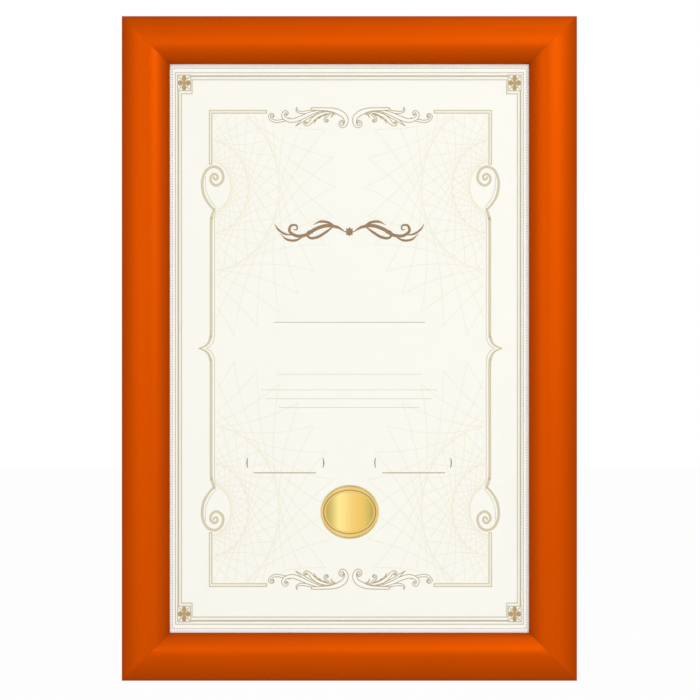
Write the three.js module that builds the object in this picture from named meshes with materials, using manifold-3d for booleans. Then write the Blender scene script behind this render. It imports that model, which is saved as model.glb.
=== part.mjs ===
// Snap frame for an 11 by 17 inch print, in millimetres, +Z up.
// The front faces -Y. The wall plane is y = 0 and the origin is the frame's middle in that plane.
// Four mitred base rails stand on the wall. Each carries a sprung cover that turns about a bead along
// the rail's outer edge and holds down the edge of the sheets when it is shut.

import Module from 'manifold-3d';
import * as THREE from 'three';
import { mergeVertices } from 'three/addons/utils/BufferGeometryUtils.js';

const wasm = await Module();
wasm.setup();

// The sheets: backing panel, print and clear sheet, all cut to one size
const SHEET_WIDTH = 279.4;
const SHEET_HEIGHT = 431.8;
const PANEL_THICKNESS = 1.5;
const PRINT_THICKNESS = 0.25;
const CLEAR_THICKNESS = 0.7;
const SHEET_GAP = 0.15;
const EDGE_GAP = 0.4;

// The rail as seen from the front
const FACE_WIDTH = 35;
const LIP_OVER_SHEET = 9;
const MITRE_GAP = 0.15;

// The base section
const BASE_WALL = 1.2;
const LEDGE_HEIGHT = 4.2;
const LEDGE_WIDTH = 7.8;
const RIB_ABOVE_SHEETS = 0.6;
const HOOK_REACH = 0.8;
const HOOK_THICKNESS = 0.7;
const SLOT_WIDTH = 12.2;
const SLOT_LIP = 1.6;
const NECK_THICKNESS = 1.2;

// The hinge along the outer edge: a round bead on the base inside a socket on the cover
const BEAD_RADIUS = 1.6;
const HINGE_CLEARANCE = 0.3;
const SOCKET_WALL = 1.2;
const OPEN_ANGLE = 100;
const TOE_INSET = 0.15;

// The cover section
const SHELL_THICKNESS = 1.3;
const CREST_RISE = 7.6;
const CREST_IN = 19.5;
const NOSE_RADIUS = 0.8;
const NOSE_GAP = 0.3;
const FOOT_WIDTH = 2.4;

// The leg under each cover's hinge, which the springs push on
const SEAT_RADIUS = 4.65;
const SEAT_ANGLE = -46.5;
const GROOVE_TOP_ANGLE = 75;
const LEG_ROOT_ANGLE = -12;
const LEG_WALL = 1;
const LEG_TIP = 0.7;
const LEG_TRIM = 0.6;

// The leaf springs
const SPRING_THICKNESS = 0.5;
const SPRING_WIDTH = 40;
const SPRING_BOW = 3.3;
const SPRING_GAP = 0.35;

// The corner keys, their grub screws and the wall-fixing holes
const KEY_THICKNESS = 2.1;
const KEY_CLEARANCE = 0.3;
const KEY_REACH = 65;
const SCREW_FROM_CORNER = 48;
const SCREW_RADIUS = 2;
const SCREW_LENGTH = 3.6;
const SCREW_CHAMFER = 0.5;
const SCREW_CLEARANCE = 0.3;
const HEX_ACROSS_FLATS = 2;
const HEX_DEPTH = 1.8;
const FIXING_HOLE_RADIUS = 2.25;
const FIXING_FROM_CORNER = 75;

// Facets on round stretches
const ARC_STEP = 7;
const SHELL_ARC_STEP = 2;
const HOLE_SIDES = 24;
const SCREW_SIDES = 20;

const OUTER_WIDTH = SHEET_WIDTH + 2 * (FACE_WIDTH - LIP_OVER_SHEET);
const OUTER_HEIGHT = SHEET_HEIGHT + 2 * (FACE_WIDTH - LIP_OVER_SHEET);

const point = (u, v) => new THREE.Vector2(u, v);
const radians = THREE.MathUtils.degToRad;
const degrees = THREE.MathUtils.radToDeg;

// A point at a distance and an angle in degrees from a centre
function polar(centre, radius, angle) {
  return point(centre.x + radius * Math.cos(radians(angle)), centre.y + radius * Math.sin(radians(angle)));
}

// The points of an arc between two angles in degrees, both ends included
function arc(centre, radius, from, to, step = ARC_STEP) {
  const count = Math.max(1, Math.ceil(Math.abs(to - from) / step));
  return Array.from({ length: count + 1 }, (_, i) => polar(centre, radius, from + ((to - from) * i) / count));
}

// The angle in degrees from one point to another
function angleTo(from, to) {
  return degrees(Math.atan2(to.y - from.y, to.x - from.x));
}

// A section is drawn with u running in from the frame's outer face and v running forward from the wall.

// Heights above the wall
const panelBack = LEDGE_HEIGHT + SHEET_GAP;
const printBack = panelBack + PANEL_THICKNESS + SHEET_GAP;
const clearBack = printBack + PRINT_THICKNESS + SHEET_GAP;
const clearFront = clearBack + CLEAR_THICKNESS;
const noseBottom = clearFront + NOSE_GAP;
const ribTop = clearFront + RIB_ABOVE_SHEETS;
const slotLipBottom = BASE_WALL + KEY_THICKNESS + 2 * KEY_CLEARANCE;
const slotLipTop = slotLipBottom + BASE_WALL;

// Distances in from the outer face
const ribInner = FACE_WIDTH - LIP_OVER_SHEET - EDGE_GAP;
const ribOuter = ribInner - BASE_WALL;
const slotOuter = ribOuter - SLOT_WIDTH;
const slotMiddle = (ribOuter + slotOuter) / 2;

// The hinge: the bead's neck fixes how far round it the socket's heel may reach. The toe is cut where
// a full opening brings it back to the depth that it started from, so it never crosses the mitre.
const socketInner = BEAD_RADIUS + HINGE_CLEARANCE;
const socketOuter = socketInner + SOCKET_WALL;
const neckHalfAngle = degrees(Math.asin((NECK_THICKNESS / 2 + HINGE_CLEARANCE) / socketInner));
const toeAngle = 180 - OPEN_ANGLE / 2;
const heelAngle = -90 + neckHalfAngle;
const pivot = point(TOE_INSET - socketOuter * Math.cos(radians(toeAngle)), noseBottom);

// The cover's face is two arcs that meet at the crest, one tangent to the socket and one to the nose
const crest = point(CREST_IN, pivot.y + CREST_RISE);
const nose = point(FACE_WIDTH - NOSE_RADIUS, noseBottom + NOSE_RADIUS);

// The centre of the arc that is level at the crest and touches a smaller circle from outside
function faceArc(circle, radius) {
  const across = crest.x - circle.x;
  const drop = crest.y - circle.y;
  const bend = (across ** 2 + drop ** 2 - radius ** 2) / (2 * (drop - radius));
  return { centre: point(crest.x, crest.y - bend), radius: bend };
}
const outerFace = faceArc(pivot, socketOuter);
const innerFace = faceArc(nose, NOSE_RADIUS);

// Where the springs end: in a groove in the cover's leg, and against the base's rib
const seat = polar(pivot, SEAT_RADIUS, SEAT_ANGLE);
const grooveRadius = SPRING_THICKNESS / 2 + SPRING_GAP;
const springEnd = point(ribOuter - SPRING_GAP, slotLipTop + SPRING_GAP + SPRING_THICKNESS / 2);

function baseSection() {
  const beadNeckAngle = degrees(Math.asin(NECK_THICKNESS / 2 / BEAD_RADIUS));
  const shoulder = socketOuter + HINGE_CLEARANCE;
  const shoulderFoot = 270 - degrees(Math.asin(NECK_THICKNESS / 2 / shoulder));
  const shoulderRim = 360 - degrees(Math.acos(-pivot.x / shoulder));
  const shoulderBottom = pivot.y - socketOuter - BASE_WALL;
  const ledgeEnd = ribInner + LEDGE_WIDTH;
  const ledgeBottom = LEDGE_HEIGHT - BASE_WALL;
  return [
    point(0, 0),
    point(ribInner, 0),
    point(ribInner, ledgeBottom),
    point(ledgeEnd - BASE_WALL, ledgeBottom),
    point(ledgeEnd - BASE_WALL, 0),
    point(ledgeEnd, 0),
    point(ledgeEnd, LEDGE_HEIGHT),
    point(ribInner, LEDGE_HEIGHT),
    point(ribInner, ribTop),
    point(ribOuter - HOOK_REACH, ribTop),
    point(ribOuter - HOOK_REACH, ribTop - HOOK_THICKNESS),
    point(ribOuter, ribTop - HOOK_THICKNESS),
    point(ribOuter, slotLipTop),
    point(ribOuter - SLOT_LIP, slotLipTop),
    point(ribOuter - SLOT_LIP, slotLipBottom),
    point(ribOuter, slotLipBottom),
    point(ribOuter, BASE_WALL),
    point(slotOuter, BASE_WALL),
    point(slotOuter, slotLipBottom),
    point(slotOuter + SLOT_LIP, slotLipBottom),
    point(slotOuter + SLOT_LIP, slotLipTop),
    point(slotOuter - BASE_WALL, slotLipTop),
    point(slotOuter - BASE_WALL, BASE_WALL),
    point(BASE_WALL, BASE_WALL),
    point(BASE_WALL, shoulderBottom),
    point(pivot.x + NECK_THICKNESS / 2, shoulderBottom),
    ...arc(pivot, BEAD_RADIUS, -90 + beadNeckAngle, 270 - beadNeckAngle, 2 * ARC_STEP),
    ...arc(pivot, shoulder, shoulderFoot, shoulderRim),
  ];
}

function coverSection() {
  const innerMeet = shellMeetsSocket();
  const footInner = FACE_WIDTH - FOOT_WIDTH;
  const noseTangent = angleTo(innerFace.centre, nose);
  const toeTangent = angleTo(outerFace.centre, pivot);
  const underRadius = innerFace.radius - SHELL_THICKNESS;
  const footAngle = degrees(Math.acos((footInner - innerFace.centre.x) / underRadius));
  return [
    ...arc(pivot, socketInner, toeAngle, heelAngle, 2 * ARC_STEP),
    point(seat.x - grooveRadius - LEG_WALL, seat.y - grooveRadius - LEG_TIP),
    point(seat.x, seat.y - grooveRadius - LEG_TIP),
    ...arc(seat, grooveRadius, 270, GROOVE_TOP_ANGLE, 3 * ARC_STEP),
    ...arc(pivot, socketOuter, LEG_ROOT_ANGLE, innerMeet),
    ...arc(
      outerFace.centre,
      outerFace.radius - SHELL_THICKNESS,
      angleTo(outerFace.centre, polar(pivot, socketOuter, innerMeet)),
      90,
      SHELL_ARC_STEP,
    ).slice(1),
    ...arc(innerFace.centre, underRadius, 90, footAngle, 2 * SHELL_ARC_STEP).slice(1),
    point(footInner, noseBottom),
    ...arc(nose, NOSE_RADIUS, -90, noseTangent, 2 * ARC_STEP),
    ...arc(innerFace.centre, innerFace.radius, noseTangent, 90, SHELL_ARC_STEP).slice(1),
    ...arc(outerFace.centre, outerFace.radius, 90, toeTangent, SHELL_ARC_STEP).slice(1),
    ...arc(pivot, socketOuter, toeTangent, toeAngle).slice(1),
  ];
}

// The angle about the pivot at which the shell's underside runs into the socket's outer wall
function shellMeetsSocket() {
  const under = outerFace.radius - SHELL_THICKNESS;
  const apart = outerFace.centre.distanceTo(pivot);
  const turn = (under ** 2 - apart ** 2 - socketOuter ** 2) / (2 * apart * socketOuter);
  return angleTo(outerFace.centre, pivot) - degrees(Math.acos(turn));
}

// A leaf's section: a band of even thickness along the arc from the leg's groove to the rib
function springSection() {
  const chord = seat.distanceTo(springEnd);
  const radius = chord ** 2 / (8 * SPRING_BOW) + SPRING_BOW / 2;
  const half = degrees(Math.asin(chord / (2 * radius)));
  const middle = seat.clone().add(springEnd).divideScalar(2);
  const facing = angleTo(seat, springEnd) + 90;
  const centre = polar(middle, SPRING_BOW - radius, facing);
  return [
    ...arc(centre, radius - SPRING_THICKNESS / 2, facing + half, facing - half),
    ...arc(centre, radius + SPRING_THICKNESS / 2, facing - half, facing + half),
  ];
}

function extruded(outline, depth) {
  return new THREE.ExtrudeGeometry(new THREE.Shape(outline), { depth, bevelEnabled: false });
}

// A section carried along a rail, centred on the rail's middle. In the result X runs along the rail,
// -Z runs in from the rail's outer face and -Y runs forward from the wall.
const railBasis = new THREE.Matrix4().makeBasis(
  new THREE.Vector3(0, 0, -1),
  new THREE.Vector3(0, -1, 0),
  new THREE.Vector3(-1, 0, 0),
);

function straight(section, length, middle = 0) {
  return extruded(section, length)
    .translate(0, 0, middle - length / 2)
    .applyMatrix4(railBasis);
}

// The same with both ends cut at 45 degrees, just short of the corner's mitre plane
function mitred(section, length) {
  const geometry = straight(section, length);
  const position = geometry.getAttribute('position');
  for (let i = 0; i < position.count; i += 1) {
    const end = length / 2 + position.getZ(i) - MITRE_GAP;
    position.setX(i, Math.sign(position.getX(i)) * end);
  }
  return geometry;
}

function toSolid(geometry) {
  const bare = geometry.clone();
  bare.deleteAttribute('normal');
  bare.deleteAttribute('uv');
  const merged = mergeVertices(bare);
  return new wasm.Manifold(
    new wasm.Mesh({
      numProp: 3,
      vertProperties: merged.getAttribute('position').array,
      triVerts: merged.index.array,
    }),
  );
}

function toGeometry(solid) {
  const { vertProperties, triVerts } = solid.getMesh();
  const geometry = new THREE.BufferGeometry();
  geometry.setAttribute('position', new THREE.BufferAttribute(vertProperties, 3));
  geometry.setIndex(new THREE.BufferAttribute(triVerts, 1));
  geometry.computeVertexNormals();
  return geometry;
}

function cut(geometry, tools) {
  return toGeometry(tools.reduce((solid, tool) => solid.subtract(toSolid(tool)), toSolid(geometry)));
}

// A drill standing square to the wall, as deep as the hinge is high, at a place along and in from an edge
function drill(radius, along, inward) {
  return new THREE.CylinderGeometry(radius, radius, 2 * pivot.y, HOLE_SIDES).translate(along, 0, -inward);
}

function baseGeometry(length) {
  const along = length / 2 - FIXING_FROM_CORNER;
  const holes = [-1, 1].map((side) => drill(FIXING_HOLE_RADIUS, side * along, slotMiddle));
  return cut(mitred(baseSection(), length), holes);
}

// The leg and the socket's heel swing inwards as the cover opens, so they stop short of the mitres.
function coverGeometry(length) {
  const legReach = Math.hypot(seat.x - pivot.x, seat.y - grooveRadius - LEG_TIP - pivot.y);
  const stop = pivot.x + legReach + LEG_TRIM;
  const trims = [-1, 1].map((side) =>
    new THREE.BoxGeometry(stop, pivot.y, stop).translate(
      side * (length / 2 - stop / 2),
      -pivot.y / 2,
      -stop / 2,
    ),
  );
  return cut(mitred(coverSection(), length), trims);
}

// Each spring lies halfway between the rail's middle and a fixing hole.
function springGeometry(length, side) {
  const along = (side * (length / 2 - FIXING_FROM_CORNER)) / 2;
  return straight(springSection(), SPRING_WIDTH, along);
}

// A corner key lies in the slots of two rails. Its legs run along +X and -Z from the frame's corner.
function keyGeometry() {
  const near = slotOuter + KEY_CLEARANCE;
  const far = ribOuter - KEY_CLEARANCE;
  const outline = [
    point(near, -near),
    point(KEY_REACH, -near),
    point(KEY_REACH, -far),
    point(far, -far),
    point(far, -KEY_REACH),
    point(near, -KEY_REACH),
  ];
  const plate = extruded(outline, KEY_THICKNESS);
  plate.rotateX(Math.PI / 2).translate(0, -BASE_WALL - KEY_CLEARANCE, 0);
  return cut(plate, [
    drill(SCREW_RADIUS + SCREW_CLEARANCE, SCREW_FROM_CORNER, slotMiddle),
    drill(SCREW_RADIUS + SCREW_CLEARANCE, slotMiddle, SCREW_FROM_CORNER),
  ]);
}

// A grub screw, point to the wall, with a hexagon socket in its front end
function screwGeometry(along, inward) {
  const profile = [
    point(0, 0),
    point(SCREW_RADIUS - SCREW_CHAMFER, 0),
    point(SCREW_RADIUS, SCREW_CHAMFER),
    point(SCREW_RADIUS, SCREW_LENGTH),
    point(0, SCREW_LENGTH),
  ];
  const hexRadius = HEX_ACROSS_FLATS / Math.sqrt(3);
  const body = new THREE.LatheGeometry(profile, SCREW_SIDES);
  const socket = new THREE.CylinderGeometry(hexRadius, hexRadius, 2 * HEX_DEPTH, 6);
  socket.translate(0, SCREW_LENGTH, 0);
  return cut(body, [socket]).rotateX(Math.PI).translate(along, -BASE_WALL - KEY_CLEARANCE, -inward);
}

function sheetGeometry(thickness, back) {
  return new THREE.BoxGeometry(SHEET_WIDTH, thickness, SHEET_HEIGHT).translate(0, -back - thickness / 2, 0);
}

const finishes = {
  cover: new THREE.MeshStandardMaterial({ color: 0xe05400, roughness: 0.38, metalness: 0 }),
  base: new THREE.MeshStandardMaterial({ color: 0xb4b6b8, roughness: 0.45, metalness: 0.9 }),
  spring: new THREE.MeshStandardMaterial({ color: 0x8c8f93, roughness: 0.3, metalness: 1 }),
  key: new THREE.MeshStandardMaterial({ color: 0xa3a6aa, roughness: 0.4, metalness: 1 }),
  screw: new THREE.MeshStandardMaterial({ color: 0x2c2d2f, roughness: 0.5, metalness: 0.8 }),
  panel: new THREE.MeshStandardMaterial({ color: 0xe9e9e6, roughness: 0.7, metalness: 0 }),
  print: new THREE.MeshStandardMaterial({ color: 0xfaf8f0, roughness: 0.8, metalness: 0 }),
  clear: new THREE.MeshStandardMaterial({
    color: 0xffffff,
    roughness: 0.1,
    metalness: 0,
    transparent: true,
    opacity: 0.15,
  }),
};

function piece(name, geometry, finish) {
  const mesh = new THREE.Mesh(geometry, finishes[finish]);
  mesh.name = name;
  return mesh;
}

// Each rail stands in a group turned about Y, with its outer face on the frame's edge.
const rails = [
  { side: 'top', turn: 0, length: OUTER_WIDTH, x: 0, z: OUTER_HEIGHT / 2 },
  { side: 'right', turn: 90, length: OUTER_HEIGHT, x: OUTER_WIDTH / 2, z: 0 },
  { side: 'bottom', turn: 180, length: OUTER_WIDTH, x: 0, z: -OUTER_HEIGHT / 2 },
  { side: 'left', turn: -90, length: OUTER_HEIGHT, x: -OUTER_WIDTH / 2, z: 0 },
];

// Each corner stands in a group turned the same way, with its key's legs running along two rails.
const corners = [
  { corner: 'top_left', turn: 0, x: -OUTER_WIDTH / 2, z: OUTER_HEIGHT / 2 },
  { corner: 'top_right', turn: 90, x: OUTER_WIDTH / 2, z: OUTER_HEIGHT / 2 },
  { corner: 'bottom_right', turn: 180, x: OUTER_WIDTH / 2, z: -OUTER_HEIGHT / 2 },
  { corner: 'bottom_left', turn: -90, x: -OUTER_WIDTH / 2, z: -OUTER_HEIGHT / 2 },
];

function placed({ turn, x, z }, pieces) {
  const group = new THREE.Group();
  group.rotation.y = radians(turn);
  group.position.set(x, 0, z);
  return group.add(...pieces);
}

const frame = new THREE.Group();

for (const rail of rails) {
  frame.add(
    placed(rail, [
      piece(`base_${rail.side}`, baseGeometry(rail.length), 'base'),
      piece(`cover_${rail.side}`, coverGeometry(rail.length), 'cover'),
      piece(`spring_${rail.side}_a`, springGeometry(rail.length, -1), 'spring'),
      piece(`spring_${rail.side}_b`, springGeometry(rail.length, 1), 'spring'),
    ]),
  );
}

for (const corner of corners) {
  frame.add(
    placed(corner, [
      piece(`corner_key_${corner.corner}`, keyGeometry(), 'key'),
      piece(`grub_screw_${corner.corner}_a`, screwGeometry(SCREW_FROM_CORNER, slotMiddle), 'screw'),
      piece(`grub_screw_${corner.corner}_b`, screwGeometry(slotMiddle, SCREW_FROM_CORNER), 'screw'),
    ]),
  );
}

frame.add(
  piece('backing_panel', sheetGeometry(PANEL_THICKNESS, panelBack), 'panel'),
  piece('certificate', sheetGeometry(PRINT_THICKNESS, printBack), 'print'),
  piece('clear_sheet', sheetGeometry(CLEAR_THICKNESS, clearBack), 'clear'),
);

export default frame;
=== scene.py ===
# %% [markdown]
# # A snap frame and the certificate in it
# A snap frame is four aluminium rails round a pocket for a poster. Each rail has a rounded front cover
# that turns on a bead along its outer edge and is held shut, or open, by bowed leaf springs.
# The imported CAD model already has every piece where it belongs. This script keeps those places and
# makes each piece again as a finer surface with a real finish, so that the frame can be looked at closely.

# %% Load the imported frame
import math

import bpy
import numpy as np
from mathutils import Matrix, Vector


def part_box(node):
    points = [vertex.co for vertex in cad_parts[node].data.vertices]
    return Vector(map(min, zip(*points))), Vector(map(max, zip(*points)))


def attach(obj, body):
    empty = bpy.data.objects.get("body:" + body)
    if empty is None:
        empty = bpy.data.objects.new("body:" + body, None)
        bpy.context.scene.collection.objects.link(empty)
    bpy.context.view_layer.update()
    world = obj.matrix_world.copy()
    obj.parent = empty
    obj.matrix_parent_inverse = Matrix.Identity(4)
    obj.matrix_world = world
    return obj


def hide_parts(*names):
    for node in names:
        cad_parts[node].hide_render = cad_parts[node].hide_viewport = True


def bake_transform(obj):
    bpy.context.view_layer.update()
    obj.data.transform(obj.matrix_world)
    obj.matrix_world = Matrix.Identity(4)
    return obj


MM = 0.001
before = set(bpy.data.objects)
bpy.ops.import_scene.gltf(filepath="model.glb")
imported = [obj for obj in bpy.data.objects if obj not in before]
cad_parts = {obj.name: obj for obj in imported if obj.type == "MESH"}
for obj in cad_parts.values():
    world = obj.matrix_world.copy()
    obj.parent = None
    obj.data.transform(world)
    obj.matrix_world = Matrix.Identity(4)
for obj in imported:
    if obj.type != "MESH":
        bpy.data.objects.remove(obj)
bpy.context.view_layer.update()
OUTER_W = round(-2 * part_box("base_left")[0].x / MM, 4)
OUTER_H = round(2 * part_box("base_top")[1].z / MM, 4)
print("frame outline in mm:", OUTER_W, "by", OUTER_H)

# %% [markdown]
# ## From numbers to a mesh
# Every piece below is worked out with numpy as an array of points and an array of faces. The mesh is
# made in one go and its faces are turned outwards if the enclosed volume comes out negative.
# Flat faces stay flat next to small rounded edges because the shading normals are weighted by face area.

# %% The mesh maker
SHARP_TURN = 32  # degrees between two faces from which their edge is drawn sharp


def signed_volume(points, faces):
    """Sum over fan triangles of each face of (a . b x c) / 6: positive if the faces turn outwards."""
    total = 0.0
    for block in faces:
        a = points[block[:, 0]]
        for k in range(1, block.shape[1] - 1):
            b, c = points[block[:, k]], points[block[:, k + 1]]
            total += np.einsum("ij,ij->", a, np.cross(b, c)) / 6
    return total


def placed(name, data):
    """A new object in the scene."""
    obj = bpy.data.objects.new(name, data)
    bpy.context.scene.collection.objects.link(obj)
    return obj


def new_piece(name, parts, materials, body, replaces=(), sharp=SHARP_TURN):
    """One object from closed parts. A part is (points in metres, [(faces, material number), ...])."""
    points, faces, numbers, base = [], [], [], 0
    for part_points, part_faces in parts:
        blocks = [block for block, _ in part_faces]
        turn = -1 if signed_volume(part_points, blocks) < 0 else 1
        for block, number in part_faces:
            faces += (block[:, ::turn] + base).tolist()
            numbers += [number] * len(block)
        points.append(part_points)
        base += len(part_points)
    mesh = bpy.data.meshes.new(name)
    mesh.from_pydata(np.concatenate(points).tolist(), [], faces)
    mesh.polygons.foreach_set("material_index", numbers)
    mesh.polygons.foreach_set("use_smooth", [True] * len(faces))
    mesh.set_sharp_from_angle(angle=math.radians(sharp))
    for material in materials:
        mesh.materials.append(material)
    obj = placed(name, mesh)
    even = obj.modifiers.new("flat faces stay flat", "WEIGHTED_NORMAL")
    even.keep_sharp = True
    if body:
        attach(obj, body)
    if replaces:
        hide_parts(*replaces)
    print(f"{name}: {len(faces)} faces")
    return obj


# %% [markdown]
# ## Shared finishes
# Three effects come back in several materials, so each is a shader node group with its own values:
# a fine grain for paint, plastic and paper, drawn lines for extruded and rolled metal, and dust that
# settles on surfaces that face up.

# %% Node helpers
def fill(sockets, values):
    """Gives each socket its value: a plain one, or another node's output, which is linked to it."""
    for socket, value in zip(sockets, values):
        if isinstance(value, bpy.types.NodeSocket):
            socket.id_data.links.new(value, socket)
        elif value is not None:
            socket.default_value = value


def give(target, **values):
    """Sets a node's properties and inputs by name, with _ for each space in a name."""
    for key, value in values.items():
        if hasattr(target, key):
            setattr(target, key, value)
        else:
            fill([target.inputs[key.replace("_", " ")]], [value])
    return target


def node(tree, kind, **values):
    """A new node with its properties and inputs."""
    return give(tree.nodes.new("ShaderNode" + kind), **values)


def node_group(name, inputs, outputs):
    """An empty group with named sockets, and its input and output nodes."""
    tree = bpy.data.node_groups.new(name, "ShaderNodeTree")
    for label, kind, value in inputs:
        socket = tree.interface.new_socket(label, in_out="INPUT", socket_type="NodeSocket" + kind)
        if value is not None:
            socket.default_value = value
    for label, kind in outputs:
        tree.interface.new_socket(label, in_out="OUTPUT", socket_type="NodeSocket" + kind)
    return tree, tree.nodes.new("NodeGroupInput"), tree.nodes.new("NodeGroupOutput")


def maths(tree, operation, a, b=None, clamp=False):
    """The result of a Math node on one or two values."""
    made = node(tree, "Math", operation=operation, use_clamp=clamp)
    fill(made.inputs, (a, b))
    return made.outputs[0]


def vectors(tree, operation, *values):
    """The result of a Vector Math node."""
    made = node(tree, "VectorMath", operation=operation)
    fill(made.inputs, values)
    return made.outputs[0]


def varied(tree, value, low, high):
    """Carries a 0 to 1 value onto low to high."""
    return maths(tree, "ADD", maths(tree, "MULTIPLY", value, high - low), low)


def mix_colours(tree, factor, a, b):
    """A blend of two colours, each a node's output or an RGB value."""
    made = node(tree, "Mix", data_type="RGBA")
    a, b = ((*colour, 1) if isinstance(colour, tuple) else colour for colour in (a, b))
    fill((made.inputs[0], made.inputs[6], made.inputs[7]), (factor, a, b))
    return made.outputs[2]


# %% The three shared groups
grain_group, g_in, g_out = node_group(
    "Fine grain",
    [("Vector", "Vector", None), ("Grain per metre", "Float", 800.0), ("Cloud per metre", "Float", 12.0)],
    [("Grain", "Float"), ("Cloud", "Float")],
)
for label, detail in (("Grain", 2.0), ("Cloud", 3.0)):
    place, scale = g_in.outputs["Vector"], g_in.outputs[label + " per metre"]
    noise = node(grain_group, "TexNoise", Vector=place, Scale=scale, Detail=detail, Roughness=0.55)
    give(g_out, **{label: noise.outputs["Fac"]})

lines_group, l_in, l_out = node_group(
    "Drawn lines",
    [("Vector", "Vector", None), ("Stretch", "Vector", (1, 1, 1)), ("Lines per metre", "Float", 3000.0)],
    [("Lines", "Float"), ("Bands", "Float")],
)
stretched = vectors(lines_group, "MULTIPLY", l_in.outputs["Vector"], l_in.outputs["Stretch"])
for label, share in (("Lines", 1.0), ("Bands", 0.12)):
    scale = maths(lines_group, "MULTIPLY", l_in.outputs["Lines per metre"], share)
    noise = node(lines_group, "TexNoise", Vector=stretched, Scale=scale, Detail=4.0, Roughness=0.6)
    give(l_out, **{label: noise.outputs["Fac"]})

dust_group, d_in, d_out = node_group(
    "Settled dust", [("Vector", "Vector", None), ("Amount", "Float", 0.2)], [("Dust", "Float")]
)
normal = node(dust_group, "NewGeometry").outputs["Normal"]
facing = node(dust_group, "SeparateXYZ", Vector=normal).outputs["Z"]
specks = node(dust_group, "TexNoise", Vector=d_in.outputs["Vector"], Scale=160.0, Detail=6.0, Roughness=0.7)
upward = maths(dust_group, "MULTIPLY", maths(dust_group, "SUBTRACT", facing, 0.35, True), 1.6)
speckled = maths(dust_group, "MULTIPLY", upward, specks.outputs["Fac"])
give(d_out, Dust=maths(dust_group, "MULTIPLY", speckled, d_in.outputs["Amount"], True))
print("groups:", ", ".join(group.name for group in (grain_group, lines_group, dust_group)))


# %% A finish with the parts that all of them share
def finish(name, roughness, metallic=0.0, specular=0.5, **values):
    """A material whose Principled shader has the plain values, with its tree and object coordinates."""
    material = bpy.data.materials.new(name)
    material.use_nodes = True
    tree = material.node_tree
    shader = tree.nodes["Principled BSDF"]
    give(shader, Roughness=roughness, Metallic=metallic, Specular_IOR_Level=specular, **values)
    print(f"finish: {name}, roughness about {roughness}")
    return material, tree, shader, node(tree, "TexCoord").outputs["Object"]


def textured(tree, place, group, **values):
    """The outputs of a shared group that has its own values and the piece's coordinates."""
    return node(tree, "Group", node_tree=group, Vector=place, **values).outputs


def relief(tree, shader, height, strength, distance=0.0001):
    """The height feeds a Bump node, and that feeds the shader's normal."""
    bump = node(tree, "Bump", Strength=strength, Distance=distance, Height=height)
    give(shader, Normal=bump.outputs[0])


def grained(name, roughness, dark, light, grain_per_metre, cloud_per_metre, depth, **values):
    """A finish that drifts between two tones and has a fine grain, with its tree, shader and grain."""
    material, tree, shader, place = finish(name, roughness, **values)
    grain = textured(
        tree, place, grain_group, Grain_per_metre=grain_per_metre, Cloud_per_metre=cloud_per_metre
    )
    give(shader, Base_Color=mix_colours(tree, grain["Cloud"], dark, light))
    relief(tree, shader, grain["Grain"], depth)
    return material, tree, shader, grain


# %% [markdown]
# ## The orange coat
# The covers are powder coated. The coat is satin: a deep orange, a faint orange-peel surface and a
# soft gloss that stays orange itself, as paint with metal flake has, so the shader is mostly metallic with
# a broad highlight. A white clear coat on top would give pale streaks that the frame doesn't show.
# The coat is toned down by up to a quarter next to a rail's edges, which an attribute of the covers marks:
# this is painted shade, so that the rounded rails turn darker towards both edges.

# %% Powder coat and sawn ends
EDGE_SHADE_PAINTED = 0.25
coat, tree, shader, place = finish(
    "orange powder coat", 0.45, metallic=0.88, specular=0.04, Specular_Tint=(1.0, 0.5, 0.25, 1)
)
grain = textured(tree, place, grain_group, Grain_per_metre=900.0, Cloud_per_metre=9.0)
dust = textured(tree, place, dust_group, Amount=0.05)
rim = node(tree, "Attribute", attribute_name="rim").outputs["Fac"]
orange = mix_colours(tree, grain["Cloud"], (0.520, 0.0640, 0.0001), (0.552, 0.0680, 0.0002))
orange = mix_colours(tree, dust["Dust"], orange, (0.50, 0.30, 0.20))
# painted shade: the coat is darkened towards both edges of the rail, where the rounded face turns from the
# light
orange = mix_colours(tree, maths(tree, "MULTIPLY", rim, EDGE_SHADE_PAINTED), orange, (0.0, 0.0, 0.0))
give(shader, Base_Color=orange, Roughness=varied(tree, grain["Cloud"], 0.42, 0.48))
relief(tree, shader, grain["Grain"], 0.05, 0.0002)

sawn, tree, shader, place = finish("sawn aluminium", 0.34, metallic=1.0)
lines = textured(tree, place, lines_group, Stretch=(1.0, 0.06, 1.0), Lines_per_metre=2600.0)
give(shader, Base_Color=mix_colours(tree, lines["Lines"], (0.62, 0.63, 0.64), (0.86, 0.87, 0.88)))
relief(tree, shader, lines["Lines"], 0.35)


# %% [markdown]
# ## Metal inside the rail
# The bases are anodised extrusions with fine die lines along their length. The springs are tempered
# strip with lines along the strip, the corner keys are zinc plated and the grub screws are black.

# %% Aluminium, spring steel, zinc and black oxide
def drawn_metal(name, dark, light, roughness, stretch, lines_per_metre, depth):
    """Metal with lines drawn along one axis: the noise is squeezed across the axis and stretched along it."""
    material, tree, shader, place = finish(name, roughness, metallic=1.0)
    lines = textured(tree, place, lines_group, Stretch=stretch, Lines_per_metre=lines_per_metre)
    dust = textured(tree, place, dust_group, Amount=0.15)
    colour = mix_colours(tree, lines["Bands"], dark, light)
    colour = mix_colours(tree, dust["Dust"], colour, (0.55, 0.53, 0.50))
    worn = varied(tree, lines["Lines"], roughness - 0.07, roughness + 0.09)
    give(shader, Base_Color=colour, Roughness=worn)
    relief(tree, shader, lines["Lines"], depth)
    return material


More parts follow.
